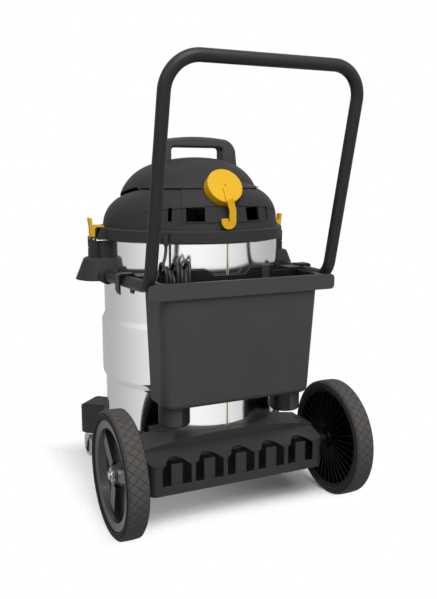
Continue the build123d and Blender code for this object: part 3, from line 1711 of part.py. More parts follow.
# Motor, fan housing and the rotor with its impeller
with BuildPart() as fan_housing:
    with BuildSketch(section):
        Polygon(
            (fan_radius, lid_top),
            (fan_radius, fan_top),
            (shaft_radius + shaft_clearance, fan_top),
            (shaft_radius + shaft_clearance, fan_top - fan_wall),
            (fan_radius - fan_wall, fan_top - fan_wall),
            (fan_radius - fan_wall, lid_top),
            align=None,
        )
    revolve(axis=drum_axis)
    with BuildSketch(floor.offset(lid_top + fan_wall)):
        with PolarLocations(fan_radius, blade_count):
            Rectangle(fan_outlet / 2, fan_outlet)
    extrude(amount=fan_top - lid_top - 3 * fan_wall, mode=Mode.SUBTRACT)
fan_housing.part.label = "fan_housing"
export_step(fan_housing.part, "parts/fan_housing.step")

with BuildPart() as motor_can:
    with BuildSketch(section):
        Polygon(
            (motor_radius, fan_top),
            (motor_radius, motor_top - motor_bevel),
            (motor_radius - motor_bevel, motor_top),
            (shaft_radius + shaft_clearance, motor_top),
            (shaft_radius + shaft_clearance, motor_top - motor_cap),
            (motor_bore, motor_top - motor_cap),
            (motor_bore, fan_top),
            align=None,
        )
    revolve(axis=drum_axis)
motor_can.part.label = "motor_can"
export_step(motor_can.part, "parts/motor_can.step")

with BuildPart() as rotor:
    with BuildSketch(floor.offset(impeller_low)):
        Circle(shaft_radius)
    extrude(amount=motor_top + shaft_end - impeller_low)
    with BuildSketch(floor.offset(armature_low)):
        Circle(armature_radius)
    extrude(amount=armature_length)
    with BuildSketch(floor.offset(impeller_low + blade_height)):
        Circle(impeller_radius)
    extrude(amount=impeller_disc)
    with BuildSketch(floor.offset(impeller_low)):
        with PolarLocations(0, blade_count):
            with BuildLine() as blade_line:
                ThreePointArc(
                    (impeller_eye, 0),
                    (impeller_radius / 2, blade_sweep),
                    (impeller_radius - blade_tip_gap, 0),
                )
            trace(blade_line.line, line_width=blade_thickness)
    extrude(amount=blade_height)
    with BuildSketch(floor.offset(impeller_low)):
        Circle(impeller_eye + blade_thickness)
    extrude(amount=blade_height)
rotor.part.label = "rotor"
export_step(rotor.part, "parts/rotor.step")

# Float cage, float and filter under the lid
with BuildPart() as filter_cage:
    with BuildSketch(section):
        Polygon(
            (0, cage_low),
            (cage_radius, cage_low),
            (cage_radius, lid_under - cage_wall),
            (cage_flange, lid_under - cage_wall),
            (cage_flange, lid_under),
            (cage_radius - cage_wall, lid_under),
            (cage_radius - cage_wall, cage_floor),
            (0, cage_floor),
            align=None,
        )
    revolve(axis=drum_axis)
    for window in range(cage_windows):
        turn = 360 * window / cage_windows
        with BuildSketch(facing(turn, cage_window_mid)):
            Rectangle(cage_window_width, cage_window_height)
        extrude(amount=2 * cage_radius, mode=Mode.SUBTRACT)
filter_cage.part.label = "filter_cage"
export_step(filter_cage.part, "parts/filter_cage.step")

with BuildPart() as float_ball:
    with BuildSketch(section):
        with Locations((0, cage_floor + float_gap + float_radius)):
            Circle(float_radius)
            with Locations((-float_radius, 0)):
                Rectangle(2 * float_radius, 2 * float_radius, mode=Mode.SUBTRACT)
    revolve(axis=drum_axis)
float_ball.part.label = "float_ball"
export_step(float_ball.part, "parts/float_ball.step")

with BuildPart() as filter_paper:
    with BuildSketch(floor.offset(filter_low + filter_cap)):
        with BuildLine():
            star = []
            for pleat in range(pleat_count):
                turn = 2 * math.pi * pleat / pleat_count
                half = math.pi / pleat_count
                star.append((filter_tip * math.cos(turn), filter_tip * math.sin(turn)))
                star.append((filter_root * math.cos(turn + half), filter_root * math.sin(turn + half)))
            Polyline(*star, close=True)
        make_face()
        Circle(filter_inner, mode=Mode.SUBTRACT)
    extrude(amount=filter_high - filter_low - 2 * filter_cap)
filter_paper.part.label = "filter_paper"
export_step(filter_paper.part, "parts/filter_paper.step")

with BuildPart() as filter_caps:
    with BuildSketch(floor.offset(filter_low), floor.offset(filter_high - filter_cap)):
        Circle(filter_cap_radius)
        Circle(filter_inner, mode=Mode.SUBTRACT)
    extrude(amount=filter_cap)
filter_caps.part.label = "filter_caps"
export_step(filter_caps.part, "parts/filter_caps.step")

with BuildPart() as filter_knob:
    with BuildSketch(floor.offset(filter_low)):
        Circle(knob_radius)
    extrude(amount=-filter_cap)
    with BuildSketch(floor.offset(filter_low)):
        Circle(knob_stud)
    extrude(amount=cage_low - filter_low)
    with BuildSketch(floor.offset(filter_low - filter_cap)):
        Rectangle(2 * knob_wing_half, knob_stud)
        Circle(knob_stud)
    extrude(amount=-knob_wing_height)
filter_knob.part.label = "filter_knob"
export_step(filter_knob.part, "parts/filter_knob.step")

# Tool basket: a tapered tray hollowed round the drum, a rim band, two sockets and two hooks


def basket_plan(half, front, rear):
    """Corners of the basket's outline at one height."""
    return [(half, front), (half, rear), (-half, rear), (-half, front)]


with BuildPart() as basket_space:
    for height, half, front, rear in (
        (basket_floor + basket_wall, basket_half_low, basket_front_low, basket_rear_low),
        (basket_back + basket_wall, basket_half_top, basket_front_top, basket_rear_top),
    ):
        with BuildSketch(floor.offset(height)):
            with BuildLine():
                FilletPolyline(
                    *basket_plan(half - basket_wall, front + basket_wall, rear - basket_wall),
                    radius=basket_corner - basket_wall,
                )
                Line(
                    (basket_wall - half, front + basket_wall),
                    (half - basket_wall, front + basket_wall),
                )
            make_face()
    loft()
    fillet(basket_space.faces().sort_by(Axis.Z)[0].edges().filter_by(
        lambda edge: edge.center().Y > axis_y + basket_front_low + 2 * basket_wall
    ), basket_round - basket_wall)
    with BuildSketch(floor):
        Circle(basket_clear + basket_wall)
    extrude(amount=basket_back + 2 * basket_wall, mode=Mode.SUBTRACT)

with BuildPart() as tool_basket:
    for height, half, front, rear in (
        (basket_floor, basket_half_low, basket_front_low, basket_rear_low),
        (basket_back, basket_half_top, basket_front_top, basket_rear_top),
    ):
        with BuildSketch(floor.offset(height)):
            with BuildLine():
                FilletPolyline(*basket_plan(half, front, rear), radius=basket_corner)
                Line((-half, front), (half, front))
            make_face()
    loft()
    fillet(tool_basket.faces().sort_by(Axis.Z)[0].edges().filter_by(
        lambda edge: edge.center().Y > axis_y + basket_front_low + basket_wall
    ), basket_round)
    # above the rim only the two horns of the drum-side wall are left
    with BuildSketch(floor.offset(basket_rim)):
        Rectangle(3 * rim_half, 3 * rim_rear)
        Circle(basket_clear + basket_wall, mode=Mode.SUBTRACT)
        with Locations((0, basket_front_top)):
            Rectangle(2 * back_half, 2 * basket_wall, mode=Mode.SUBTRACT)
    extrude(amount=basket_back - basket_rim, mode=Mode.SUBTRACT)
    with BuildSketch(section.offset(-rim_rear)):
        Polygon(
            (-back_gap_half, basket_rim),
            (back_gap_half, basket_rim),
            (back_gap_half + basket_back_rise, basket_back),
            (-back_gap_half - basket_back_rise, basket_back),
            align=None,
        )
    extrude(amount=rim_rear, mode=Mode.SUBTRACT)
    # rim band, joined to the tray by a flange
    with BuildSketch(section.offset(-rim_rear)):
        with Locations((0, basket_rim - rim_band / 2)):
            RectangleRounded(2 * rim_half, rim_band, rim_corner)
    extrude(amount=rim_wall)
    with BuildSketch(floor.offset(basket_rim - rim_wall)):
        with Locations((0, (rim_front + rim_rear - rim_wall) / 2)):
            Rectangle(2 * flange_half, rim_rear - rim_wall - rim_front)
    extrude(amount=rim_wall)
    with BuildSketch(floor.offset(socket_low)):
        with Locations((socket_x, socket_y), (-socket_x, socket_y)):
            Circle(socket_radius)
    extrude(amount=basket_floor + basket_round - socket_low)
    fillet(tool_basket.edges().group_by(Axis.Z)[0], socket_round)
    with BuildSketch(floor):
        Circle(basket_clear)
    extrude(amount=basket_back + basket_wall, mode=Mode.SUBTRACT)
    add(basket_space.part, mode=Mode.SUBTRACT)
    with BuildSketch(floor.offset(socket_low)):
        with Locations((socket_x, socket_y), (-socket_x, socket_y)):
            Circle(socket_bore)
    extrude(amount=basket_floor + basket_round - socket_low, mode=Mode.SUBTRACT)
    # hooks that hang over the push handle's runs
    for side in (1, -1):
        with BuildSketch(section.offset(-hook_y - hook_width / 2)):
            with BuildLine():
                Polyline(
                    (side * (hook_x - hook_half - hook_wall), hook_low + hook_point),
                    (side * (hook_x - hook_half), hook_low),
                    (side * (hook_x - hook_half), hook_seat),
                    (side * (hook_x + hook_half), hook_seat),
                    (side * (hook_x + hook_half), hook_low),
                    (side * (hook_x + hook_half + hook_wall), hook_low + hook_point),
                    (side * (hook_x + hook_half + hook_wall), hook_seat),
                    (side * (hook_x + hook_half), hook_seat + hook_wall),
                    (side * (hook_x - hook_half), hook_seat + hook_wall),
                    (side * (hook_x - hook_half - hook_wall), hook_seat),
                    close=True,
                )
            make_face()
        extrude(amount=hook_width)
        with BuildSketch(floor.offset(hook_low + hook_point)):
            with Locations(
                (
                    side * (hook_x - hook_half - arm_gap - arm_width / 2),
                    (hook_y - hook_width / 2 + basket_front_top + basket_wall) / 2,
                )
            ):
                Rectangle(arm_width, basket_front_top + basket_wall - hook_y + hook_width / 2)
        extrude(amount=hook_seat - hook_low - hook_point)
tool_basket.part.label = "tool_basket"
export_step(tool_basket.part, "parts/tool_basket.step")

# Power cord: gland on the lid's rim, lead over the basket's edge, hank and plug
gland_turn = math.radians(gland_angle)
gland_x = gland_reach * math.sin(gland_turn)
gland_y = gland_reach * math.cos(gland_turn)
with BuildPart() as cord_gland:
    with BuildSketch(facing(gland_angle, gland_high - gland_clip / 2).offset(lid_radius - gland_seat)):
        Rectangle(2 * gland_radius, gland_clip)
    extrude(amount=gland_stand + gland_seat)
    # tapered strain relief
    with BuildSketch(floor.offset(gland_high)):
        with Locations((gland_x, gland_y)):
            Circle(gland_radius)
    with BuildSketch(floor.offset(relief_low)):
        with Locations((gland_x, gland_y)):
            Circle(relief_tip)
    loft()
    with BuildSketch(section):
        Polygon(
            (0, lid_low),
            (lid_radius, lid_low),
            (lid_radius - lid_draft, lid_top - lid_bevel_drop),
            (lid_radius - lid_bevel, lid_top),
            (0, lid_top),
            align=None,
        )
    revolve(axis=drum_axis, mode=Mode.SUBTRACT)
cord_gland.part.label = "cord_gland"
export_step(cord_gland.part, "parts/cord_gland.step")

lead_points = [
    (gland_x, axis_y + gland_y, relief_low),
    (gland_x, axis_y + gland_y, relief_low - lead_drop),
    (hank_x, axis_y + hank_first_y, hank_start_z + lead_drop),
    (hank_x, axis_y + hank_first_y, hank_start_z),
]
lead_radii = [lead_bend, lead_bend]
print("cord lead bend radii", lead_radii, "for a cord", 2 * cord_radius, "across")
with BuildPart() as cord_lead:
    with BuildLine():
        lead_path = FilletPolyline(*lead_points, radius=lead_radii)
    with BuildSketch(Plane(lead_path @ 0, z_dir=lead_path % 0)):
        Circle(cord_radius)
    sweep()
cord_lead.part.label = "cord_lead"
export_step(cord_lead.part, "parts/cord_lead.step")

# Places of the hank's upright runs; the even ones fall, the odd ones rise
run_count = 2 * hank_loops + 1
run_x = [hank_x - hank_step * number for number in range(run_count)]
run_x[-1] = run_x[-2] - hank_last_step
run_y = [axis_y + hank_y + hank_half * (-1) ** (number + 1) for number in range(run_count)]
run_y[0] = axis_y + hank_first_y
run_y[-1] = axis_y + hank_last_y
fold_z = []
for number in range(run_count - 1):
    sway = math.sin(hank_sway_rate * number)
    if number % 2 == 0:
        fold_z.append(hank_low + hank_low_sway * sway)
    elif number < 2 * hank_shown:
        fold_z.append(hank_top + hank_top_sway * sway)
    else:
        fold_z.append(hank_top - hank_hidden_drop)

with BuildPart() as cord_hank:
    with BuildLine() as hank_path:
        start = (run_x[0], run_y[0], hank_start_z)
        for number in range(run_count - 1):
            turn_in = (run_x[number], run_y[number], fold_z[number])
            turn_out = (run_x[number + 1], run_y[number + 1], fold_z[number])
            fold = math.dist(turn_in, turn_out) / 2
            reach = fold if number % 2 == 1 else -fold
            middle = (
                (turn_in[0] + turn_out[0]) / 2,
                (turn_in[1] + turn_out[1]) / 2,
                fold_z[number] + reach,
            )
            Line(start, turn_in)
            ThreePointArc(turn_in, middle, turn_out)
            start = turn_out
        Line(start, (run_x[-1], run_y[-1], plug_top))
    with BuildSketch(Plane((run_x[0], run_y[0], hank_start_z), z_dir=(0, 0, -1))):
        Circle(cord_radius)
    sweep(path=hank_path.wires()[0])
cord_hank.part.label = "cord_hank"
export_step(cord_hank.part, "parts/cord_hank.step")

# Least gap of the hank to itself, between points a quarter turn and more apart
hank_wire = hank_path.wires()[0]
sample_step = 2 * cord_radius
sample_count = int(hank_wire.length / sample_step)
samples = [hank_wire @ (number / sample_count) for number in range(sample_count + 1)]
apart = int(math.pi * hank_half / 2 / sample_step) + 1
least = min(
    (samples[first] - samples[second]).length
    for first in range(sample_count)
    for second in range(first + apart, sample_count + 1)
)
print("cord hank length", round(hank_wire.length), "least gap to itself", round(least - 2 * cord_radius, 2))

with BuildPart() as plug:
    with BuildSketch(floor.offset(plug_top - plug_neck_length - plug_length)):
        with Locations((run_x[-1], run_y[-1] - axis_y)):
            RectangleRounded(plug_width, plug_depth, plug_neck)
    extrude(amount=plug_length)
    fillet(plug.edges().group_by(Axis.Z)[-1], plug_neck / 2)
    with BuildSketch(floor.offset(plug_top - plug_neck_length - plug_neck)):
        with Locations((run_x[-1], run_y[-1] - axis_y)):
            Circle(plug_neck)
    extrude(amount=plug_neck_length + plug_neck)
    with BuildSketch(floor.offset(plug_top - plug_neck_length - plug_length)):
        with Locations((run_x[-1], run_y[-1] - axis_y)):
            with GridLocations(plug_pin_pitch, 0, 2, 1):
                Rectangle(plug_pin_thickness, plug_pin_width)
            with Locations((0, plug_earth_offset)):
                Circle(plug_earth_radius)
    extrude(amount=-plug_pin_length)
plug.part.label = "plug"
export_step(plug.part, "parts/plug.step")
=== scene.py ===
# %% [markdown]
# # A wheeled shop vacuum with a polished drum
# The solids come from a CAD model and already have the true sizes, so this lesson is about
# dressing them: a camera and a white studio, one long cord, and a material for every surface.
# Everything is in metres, with Z up, the rear of the machine towards +Y and the floor at Z = 0.

import math

import bpy
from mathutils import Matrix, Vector


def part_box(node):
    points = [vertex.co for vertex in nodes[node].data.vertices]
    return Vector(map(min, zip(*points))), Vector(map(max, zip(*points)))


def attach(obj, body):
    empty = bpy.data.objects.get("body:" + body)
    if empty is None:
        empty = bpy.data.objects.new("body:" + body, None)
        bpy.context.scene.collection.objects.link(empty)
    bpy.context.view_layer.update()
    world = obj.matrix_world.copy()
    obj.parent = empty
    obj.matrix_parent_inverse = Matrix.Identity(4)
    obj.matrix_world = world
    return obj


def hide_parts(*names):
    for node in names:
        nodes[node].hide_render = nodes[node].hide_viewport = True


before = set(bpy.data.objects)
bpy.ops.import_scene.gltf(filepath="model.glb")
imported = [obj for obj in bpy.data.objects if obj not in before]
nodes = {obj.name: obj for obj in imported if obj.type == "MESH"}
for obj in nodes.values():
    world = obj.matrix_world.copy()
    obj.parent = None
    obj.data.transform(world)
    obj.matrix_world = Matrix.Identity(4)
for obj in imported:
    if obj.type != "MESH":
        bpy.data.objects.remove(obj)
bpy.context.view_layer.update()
axis_y = -0.068
print("solids loaded:", len(nodes))

# %% [markdown]
# ## Camera
# The viewpoint stands behind the machine and to its left, a little above the drum's rim.
# A camera could be aimed by hand, but a place, a direction and a focal length worked out from
# known heights and widths repeat exactly, so they are written down as numbers here.

# %% Camera
view = bpy.data.cameras.new("viewpoint")
view.sensor_fit = "VERTICAL"
view.sensor_height = 36.0
view.lens = 43.8
camera = bpy.data.objects.new("viewpoint", view)
bpy.context.scene.collection.objects.link(camera)
camera.location = (0.6465, 1.5326 + axis_y, 0.7022)
looking = Vector((-0.4183, -0.8929, -0.1668))
camera.rotation_euler = looking.to_track_quat("-Z", "Y").to_euler()
bpy.context.scene.camera = camera
print("camera at", tuple(round(c, 3) for c in camera.location))

# %% [markdown]
# ## The cord
# The lead leaves a gland on the lid's rim, drops over the basket's edge and is gathered in
# upright loops that stand in the basket. A bevelled curve is the natural way to make a cord:
# one open spline is its centre line and a round bevel gives its thickness. A NURBS spline of
# order 3 passes smoothly between its control points, so a handful of points per loop is enough.
# The loops come from a formula: upright runs stepped sideways, with round folds between them
# whose heights sway. Nothing ties their tops, so these fan out sideways, as they do in a hank
# pushed in by hand, and the last two loops stay low in the basket, above the plug.

# %% Control points of the lead
cord_radius = 0.00325
gland_turn = math.radians(36.0)
gland = Vector((0.213 * math.sin(gland_turn), axis_y + 0.213 * math.cos(gland_turn), 0.564))
hank_x = 0.158
hank_start = Vector((hank_x, axis_y + 0.200, 0.478))
lead_drop = Vector((0, 0, 0.026))
route = [gland, gland - lead_drop, hank_start + lead_drop, hank_start]
print("lead control points:", len(route))

# %% Control points of the hank
loops = 9
shown = 7
step = 0.0038
half = 0.022
runs = 2 * loops + 1
run_x = [hank_x - step * number for number in range(runs)]
run_x[-1] = run_x[-2] - 0.017
run_y = [axis_y + 0.230 + half * (-1) ** (number + 1) for number in range(runs)]
run_y[0] = axis_y + 0.200
run_y[-1] = axis_y + 0.216
middle_x = hank_x - step * shown


def fold_height(number):
    """Height at which the fold after this run starts; odd folds are the upper ones."""
    sway = math.sin(2.1 * number)
    if number % 2 == 0:
        return 0.290 + 0.009 * sway
    return 0.506 + 0.010 * sway if number < 2 * shown else 0.416


def fold_points(number):
    """Seven control points of the half turn that leads to the next run."""
    height = fold_height(number)
    first = Vector((run_x[number], run_y[number], height))
    last = Vector((run_x[number + 1], run_y[number + 1], height))
    radius = (last - first).length / 2
    rise = radius if number % 2 else -radius
    points = []
    for part in range(7):
        turn = math.pi * part / 6
        across = (1 - math.cos(turn)) / 2
        point = first.lerp(last, across)
        point.z += rise * math.sin(turn) * 1.045
        if number % 2:
            point.x += 0.2 * (point.x - middle_x) * math.sin(turn)
        points.append(point)
    return points


for number in range(runs - 1):
    route.extend(fold_points(number))
plug_top = Vector((run_x[-1], run_y[-1], 0.330))
route.append(plug_top)
print("cord control points:", len(route))

# %% One spline for the whole cord
line = bpy.data.curves.new("power_cord", "CURVE")
line.dimensions = "3D"
line.bevel_depth = cord_radius
line.bevel_resolution = 4
line.resolution_u = 6
line.use_fill_caps = True
spline = line.splines.new("NURBS")
spline.points.add(len(route) - 1)
for point, place in zip(spline.points, route):
    point.co = (*place, 1.0)
spline.order_u = 3
spline.use_endpoint_u = True
power_cord = bpy.data.objects.new("power_cord", line)
bpy.context.scene.collection.objects.link(power_cord)
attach(power_cord, "cart")
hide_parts("cord_lead", "cord_hank")
print("cord made, loops:", loops)

# %% [markdown]
# ## A small language for shaders
# Node trees get long when each Math node is made and linked by hand. Wrapping a socket in a
# class with arithmetic operators lets a height field be written as a formula. Everything else
# goes through one method that takes a node type, its settings and its inputs.


# %% Shader helper
class Value:
    """A socket that can be used in arithmetic."""

    def __init__(self, surface, socket):
        self.surface = surface
        self.socket = socket

    def math(self, operation, first, second=0.0):
        made = self.surface.node("ShaderNodeMath", {"operation": operation}, [first, second])
        return made["Value"]

    def __add__(self, other):
        return self.math("ADD", self, other)

    def __radd__(self, other):
        return self.math("ADD", other, self)

    def __sub__(self, other):
        return self.math("SUBTRACT", self, other)

    def __rsub__(self, other):
        return self.math("SUBTRACT", other, self)

    def __mul__(self, other):
        return self.math("MULTIPLY", self, other)

    def __rmul__(self, other):
        return self.math("MULTIPLY", other, self)

    def __truediv__(self, other):
        return self.math("DIVIDE", self, other)

    def __rtruediv__(self, other):
        return self.math("DIVIDE", other, self)

    def __pow__(self, other):
        return self.math("POWER", self, other)

    def __abs__(self):
        return self.math("ABSOLUTE", self)

    def __gt__(self, other):
        return self.math("GREATER_THAN", self, other)

    def __lt__(self, other):
        return self.math("LESS_THAN", self, other)

    def sin(self):
        return self.math("SINE", self)

    def smooth(self, low, high):
        """0 below low, 1 above high, with a soft step between."""
        settings = {"interpolation_type": "SMOOTHSTEP"}
        return self.surface.node("ShaderNodeMapRange", settings, [self, low, high])["Result"]


class Tree:
    """A node tree whose nodes are made in one call each."""

    def __init__(self, tree):
        self.tree = tree

    def feed(self, socket, value):
        """Give a socket a constant or a link."""
        if isinstance(value, Value):
            self.tree.links.new(value.socket, socket)
        else:
            socket.default_value = value

    def node(self, kind, settings=None, inputs=()):
        """Make a node: settings first, then inputs by place or by name. Returns its outputs."""
        made = self.tree.nodes.new(kind)
        for name, value in (settings or {}).items():
            setattr(made, name, value)
        named = inputs.items() if isinstance(inputs, dict) else enumerate(inputs)
        for key, value in named:
            self.feed(made.inputs[key], value)
        return {output.name: Value(self, output) for output in made.outputs if output.enabled}

    def split(self, vector):
        """The three parts of a vector."""
        parts = self.node("ShaderNodeSeparateXYZ", None, [vector])
        return parts["X"], parts["Y"], parts["Z"]

    def seen_by(self, *rays):
        """1 for these kinds of ray, such as Is Camera Ray, and 0 for the others."""
        path = self.node("ShaderNodeLightPath")
        total = path[rays[0]]
        for name in rays[1:]:
            total = total.math("MAXIMUM", total, path[name])
        return total


class Surface(Tree):
    """One material: its node tree and its main shader."""

    def __init__(self, name, color, roughness, metallic=0.0, **constants):
        self.material = bpy.data.materials.new(name)
        self.material.use_nodes = True
        super().__init__(self.material.node_tree)
        self.shader = self.tree.nodes["Principled BSDF"]
        self.set("Base Color", (*color, 1.0))
        self.set("Roughness", roughness)
        self.set("Metallic", metallic)
        for socket, value in constants.items():
            self.set(socket.replace("_", " "), value)

    def set(self, socket, value):
        """Give a shader input a constant or a link."""
        self.feed(self.shader.inputs[socket], value)

    def place(self):
        """Object coordinates, split into X, Y and Z in metres."""
        return self.split(self.node("ShaderNodeTexCoord")["Object"])

    def noise(self, scale, detail=3.0, stretch=(1.0, 1.0, 1.0)):
        """Noise in object space; stretch multiplies the coordinates along each axis."""
        where = self.node("ShaderNodeTexCoord")["Object"]
        placed = self.node("ShaderNodeMapping", None, {"Vector": where, "Scale": stretch})
        inputs = {"Vector": placed["Vector"], "Scale": scale, "Detail": detail}
        return self.node("ShaderNodeTexNoise", {"noise_dimensions": "3D"}, inputs)["Fac"]

    def facing_up(self):
        """1 on surfaces that face the ceiling, where dust settles."""
        return self.split(self.node("ShaderNodeNewGeometry")["Normal"])[2]

    def blend(self, factor, first, second):
        """Mix two colours."""
        made = self.tree.nodes.new("ShaderNodeMix")
        made.data_type = "RGBA"
        self.feed(made.inputs[0], factor)
        for socket, color in ((made.inputs[6], first), (made.inputs[7], second)):
            self.feed(socket, color if isinstance(color, Value) else (*color, 1.0))
        return Value(self, made.outputs[2])

    def bump(self, height, distance, strength=1.0, softened=0.0):
        """Feed the shader's normal from a height in units of distance metres, on softened edges."""
        inputs = {"Height": height, "Distance": distance, "Strength": strength}
        if softened:
            inputs["Normal"] = self.node("ShaderNodeBevel", {"samples": 4}, {"Radius": softened})["Normal"]
        self.set("Normal", self.node("ShaderNodeBump", None, inputs)["Normal"])

    def dress(self, *names):
        """Put this material on CAD nodes."""
        for name in names:
            mesh = nodes[name].data
            mesh.materials.clear()
            mesh.materials.append(self.material)
        print(self.material.name, "->", ", ".join(names))


# %% [markdown]
# ## Polished drum
# A mirror needs little: full metallic, low roughness and something to reflect. What makes
# rolled sheet believable is that it is never quite flat, so a long, low noise bends the
# reflections, faint rolling marks run round the drum, and the weld line has a taupe core
# between two pale edges where the heat has dulled the polish.

# %% Drum steel
steel = Surface("polished_drum", (0.86, 0.86, 0.855), 0.12, 1.0)
x, y, z = steel.place()
rear = y > 0.0
heated = (0.0034 - abs(x)).smooth(0.0, 0.0008) * rear
weld = (0.0019 - abs(x)).smooth(0.0, 0.0010) * rear
smudge = steel.noise(9.0, 4.0)
sheet = steel.blend(heated, (0.86, 0.86, 0.855), (0.80, 0.74, 0.64))
steel.set("Base Color", steel.blend(weld, sheet, (0.33, 0.25, 0.18)))
steel.set("Roughness", smudge * 0.06 + 0.09 + heated * 0.22)
waves = steel.noise(6.0, 1.0, (1.0, 1.0, 0.35))
rolling = steel.noise(60.0, 2.0, (1.0, 1.0, 14.0))
steel.bump(waves * 0.8 + rolling * 0.02 + weld * 0.15, 0.0015, 0.35)
steel.dress("drum")

# %% [markdown]
# ## Moulded plastics
# Injection-moulded housings carry a fine spark-eroded grain. A high-frequency noise as a bump
# gives the grain, a slower one varies the gloss, and a trace of pale dust lies on what faces up.
# Deep places, such as the inside of the basket, the slots behind the skirt's windows and the
# fins inside the wheels, would look too pale in a studio as even as this one. A second material
# on their faces would do, but a moulding is one piece of one plastic, so a mask by position
# darkens their colour instead: this is painted shade, not a darker plastic.


# %% Finish of a moulding
def plastic(name, color, roughness, dust, grain=0.00012, shine=0.25, shade_mask=None):
    """A grained moulding with uneven gloss and a trace of dust; shade_mask picks places painted near-black
    as shade.
    """
    made = Surface(name, color, roughness, Specular_IOR_Level=shine)
    cloud = made.noise(14.0, 4.0)
    fine = made.noise(1400.0, 2.0)
    settled = made.facing_up().smooth(0.55, 1.0) * cloud.smooth(0.35, 0.8) * dust
    tint = made.blend(cloud, [c * 0.86 for c in color], [min(1.0, c * 1.14) for c in color])
    if shade_mask:
        # painted shade: masked places drop to 6 per cent of the colour
        tint = made.blend(shade_mask(made), tint, [c * 0.06 for c in color])
    made.set("Base Color", made.blend(settled, tint, (0.32, 0.31, 0.30)))
    made.set("Roughness", cloud * 0.14 + (roughness - 0.07))
    made.bump(fine, grain, 0.5, 0.0012)
    return made


print("finish of a moulding ready")

# %% Places where shade is painted
skirt_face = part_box("dolly")[1][1]
slot_front = 0.0045
slot_back = 0.0315
slot_end_x = 0.189
panel_top = 0.142
hub_web_x = 0.2465
basket_middle_y = axis_y + 0.233
basket_wall = 0.004


def behind_windows(made):
    """1 on the walls behind the windows of the skirt, up to the tops of their panels, where shade is
    painted.
    """
    x, y, z = made.place()
    depth = skirt_face - y
    inside = (depth > slot_front) * (depth < slot_back) * (abs(x) < slot_end_x) * (z < panel_top)
    return inside * (made.facing_up() < 0.15)


def inner_side(made):
    """1 on the finned side of the hubs, which faces the cart and gets painted shade and no coat."""
    return abs(made.place()[0]) < hub_web_x


def inside_basket(made):
    """1 on the walls that face the middle of the basket, where shade is painted."""
    x, y, z = made.place()
    facing_x, facing_y, facing_z = made.split(made.node("ShaderNodeNewGeometry")["Normal"])
    inwards = facing_y * (basket_middle_y - y) - facing_x * x
    return inwards > basket_wall


print("skirt's face at y =", round(skirt_face, 4))

# %% Charcoal and black mouldings
head = plastic("head_moulding", (0.038, 0.0364, 0.0372), 0.52, 0.06, shine=0.08)
head.dress("side_handle_left", "side_handle_right", "lid", "vent_housing", "motor_hood", "blower_port")
# painted shade inside the basket
basket = plastic("basket_moulding", (0.047, 0.045, 0.046), 0.52, 0.01, shade_mask=inside_basket)
basket.dress("tool_basket")
grip = plastic("grip_moulding", (0.046, 0.044, 0.045), 0.52, 0.01)
grip.dress("carry_handle")
# painted shade in the slots behind the skirt's windows
chassis = plastic("chassis_moulding", (0.038, 0.0369, 0.0373), 0.50, 0.01, shine=0.15, shade_mask=behind_windows)
chassis.dress("dolly", "drum_saddle")
# painted shade on the hubs' inner fins; the coat is real gloss on the outer faces
spoked = plastic("hub_moulding", (0.014, 0.0136, 0.0136), 0.40, 0.0, shine=0.10, shade_mask=inner_side)
spoked.set("Coat Roughness", 0.16)
spoked.set("Coat Weight", (1.0 - inner_side(spoked)) * 0.75)
spoked.dress("hub_left", "hub_right")
black = plastic("black_moulding", (0.0085, 0.0082, 0.0082), 0.46, 0.02)
black.dress(
    "inlet_port",
    "switch_bezel",
    "filter_cage",
    "filter_knob",
    "fan_housing",
    "caster_core_left",
    "caster_core_right",
    "caster_bushes",
    "axle_spacers",
)

# %% Yellow, gloss and pale mouldings
yellow = plastic("yellow_moulding", (0.745, 0.420, 0.0062), 0.38, 0.0, 0.00006)
yellow.dress("latch_left", "latch_right", "blower_cap")
gloss = plastic("switch_moulding", (0.012, 0.012, 0.012), 0.25, 0.0, 0.00004)
gloss.dress("power_switch")
pale = plastic("float_moulding", (0.70, 0.70, 0.66), 0.45, 0.0)
pale.dress("float_ball")

# %% [markdown]
# ## Painted tube
# Powder coat is a thick, slightly orange-peeled paint: a soft gloss that wears unevenly where
# hands hold it, with ripples a few millimetres across.

# %% Push handle paint
paint = Surface("black_powder_coat", (0.018, 0.0166, 0.0158), 0.38, Specular_IOR_Level=0.22)
peel = paint.noise(420.0, 2.0)
worn = paint.noise(22.0, 5.0)
paint.set("Roughness", worn * 0.14 + 0.30)
paint.bump(peel, 0.00012, 0.4)
paint.dress("push_handle")

# %% [markdown]
# ## Rubber
# The tyres have rings on their side walls and a crossed tread. Both follow from the distance
# to the axle and from the angle round it, so they can be written as height formulas: sines of
# the radius make the rings, and two families of slanting grooves make the diamonds. The tread
# is dusty from the floor, with painted shade in its grooves. The side walls are black rubber
# darkened further as painted shade, and their rings are painted paler as painted highlights.

# %% Tyres
ring_wave = 1250.0
diamond_pitch = 0.019
groove_slant = 0.9


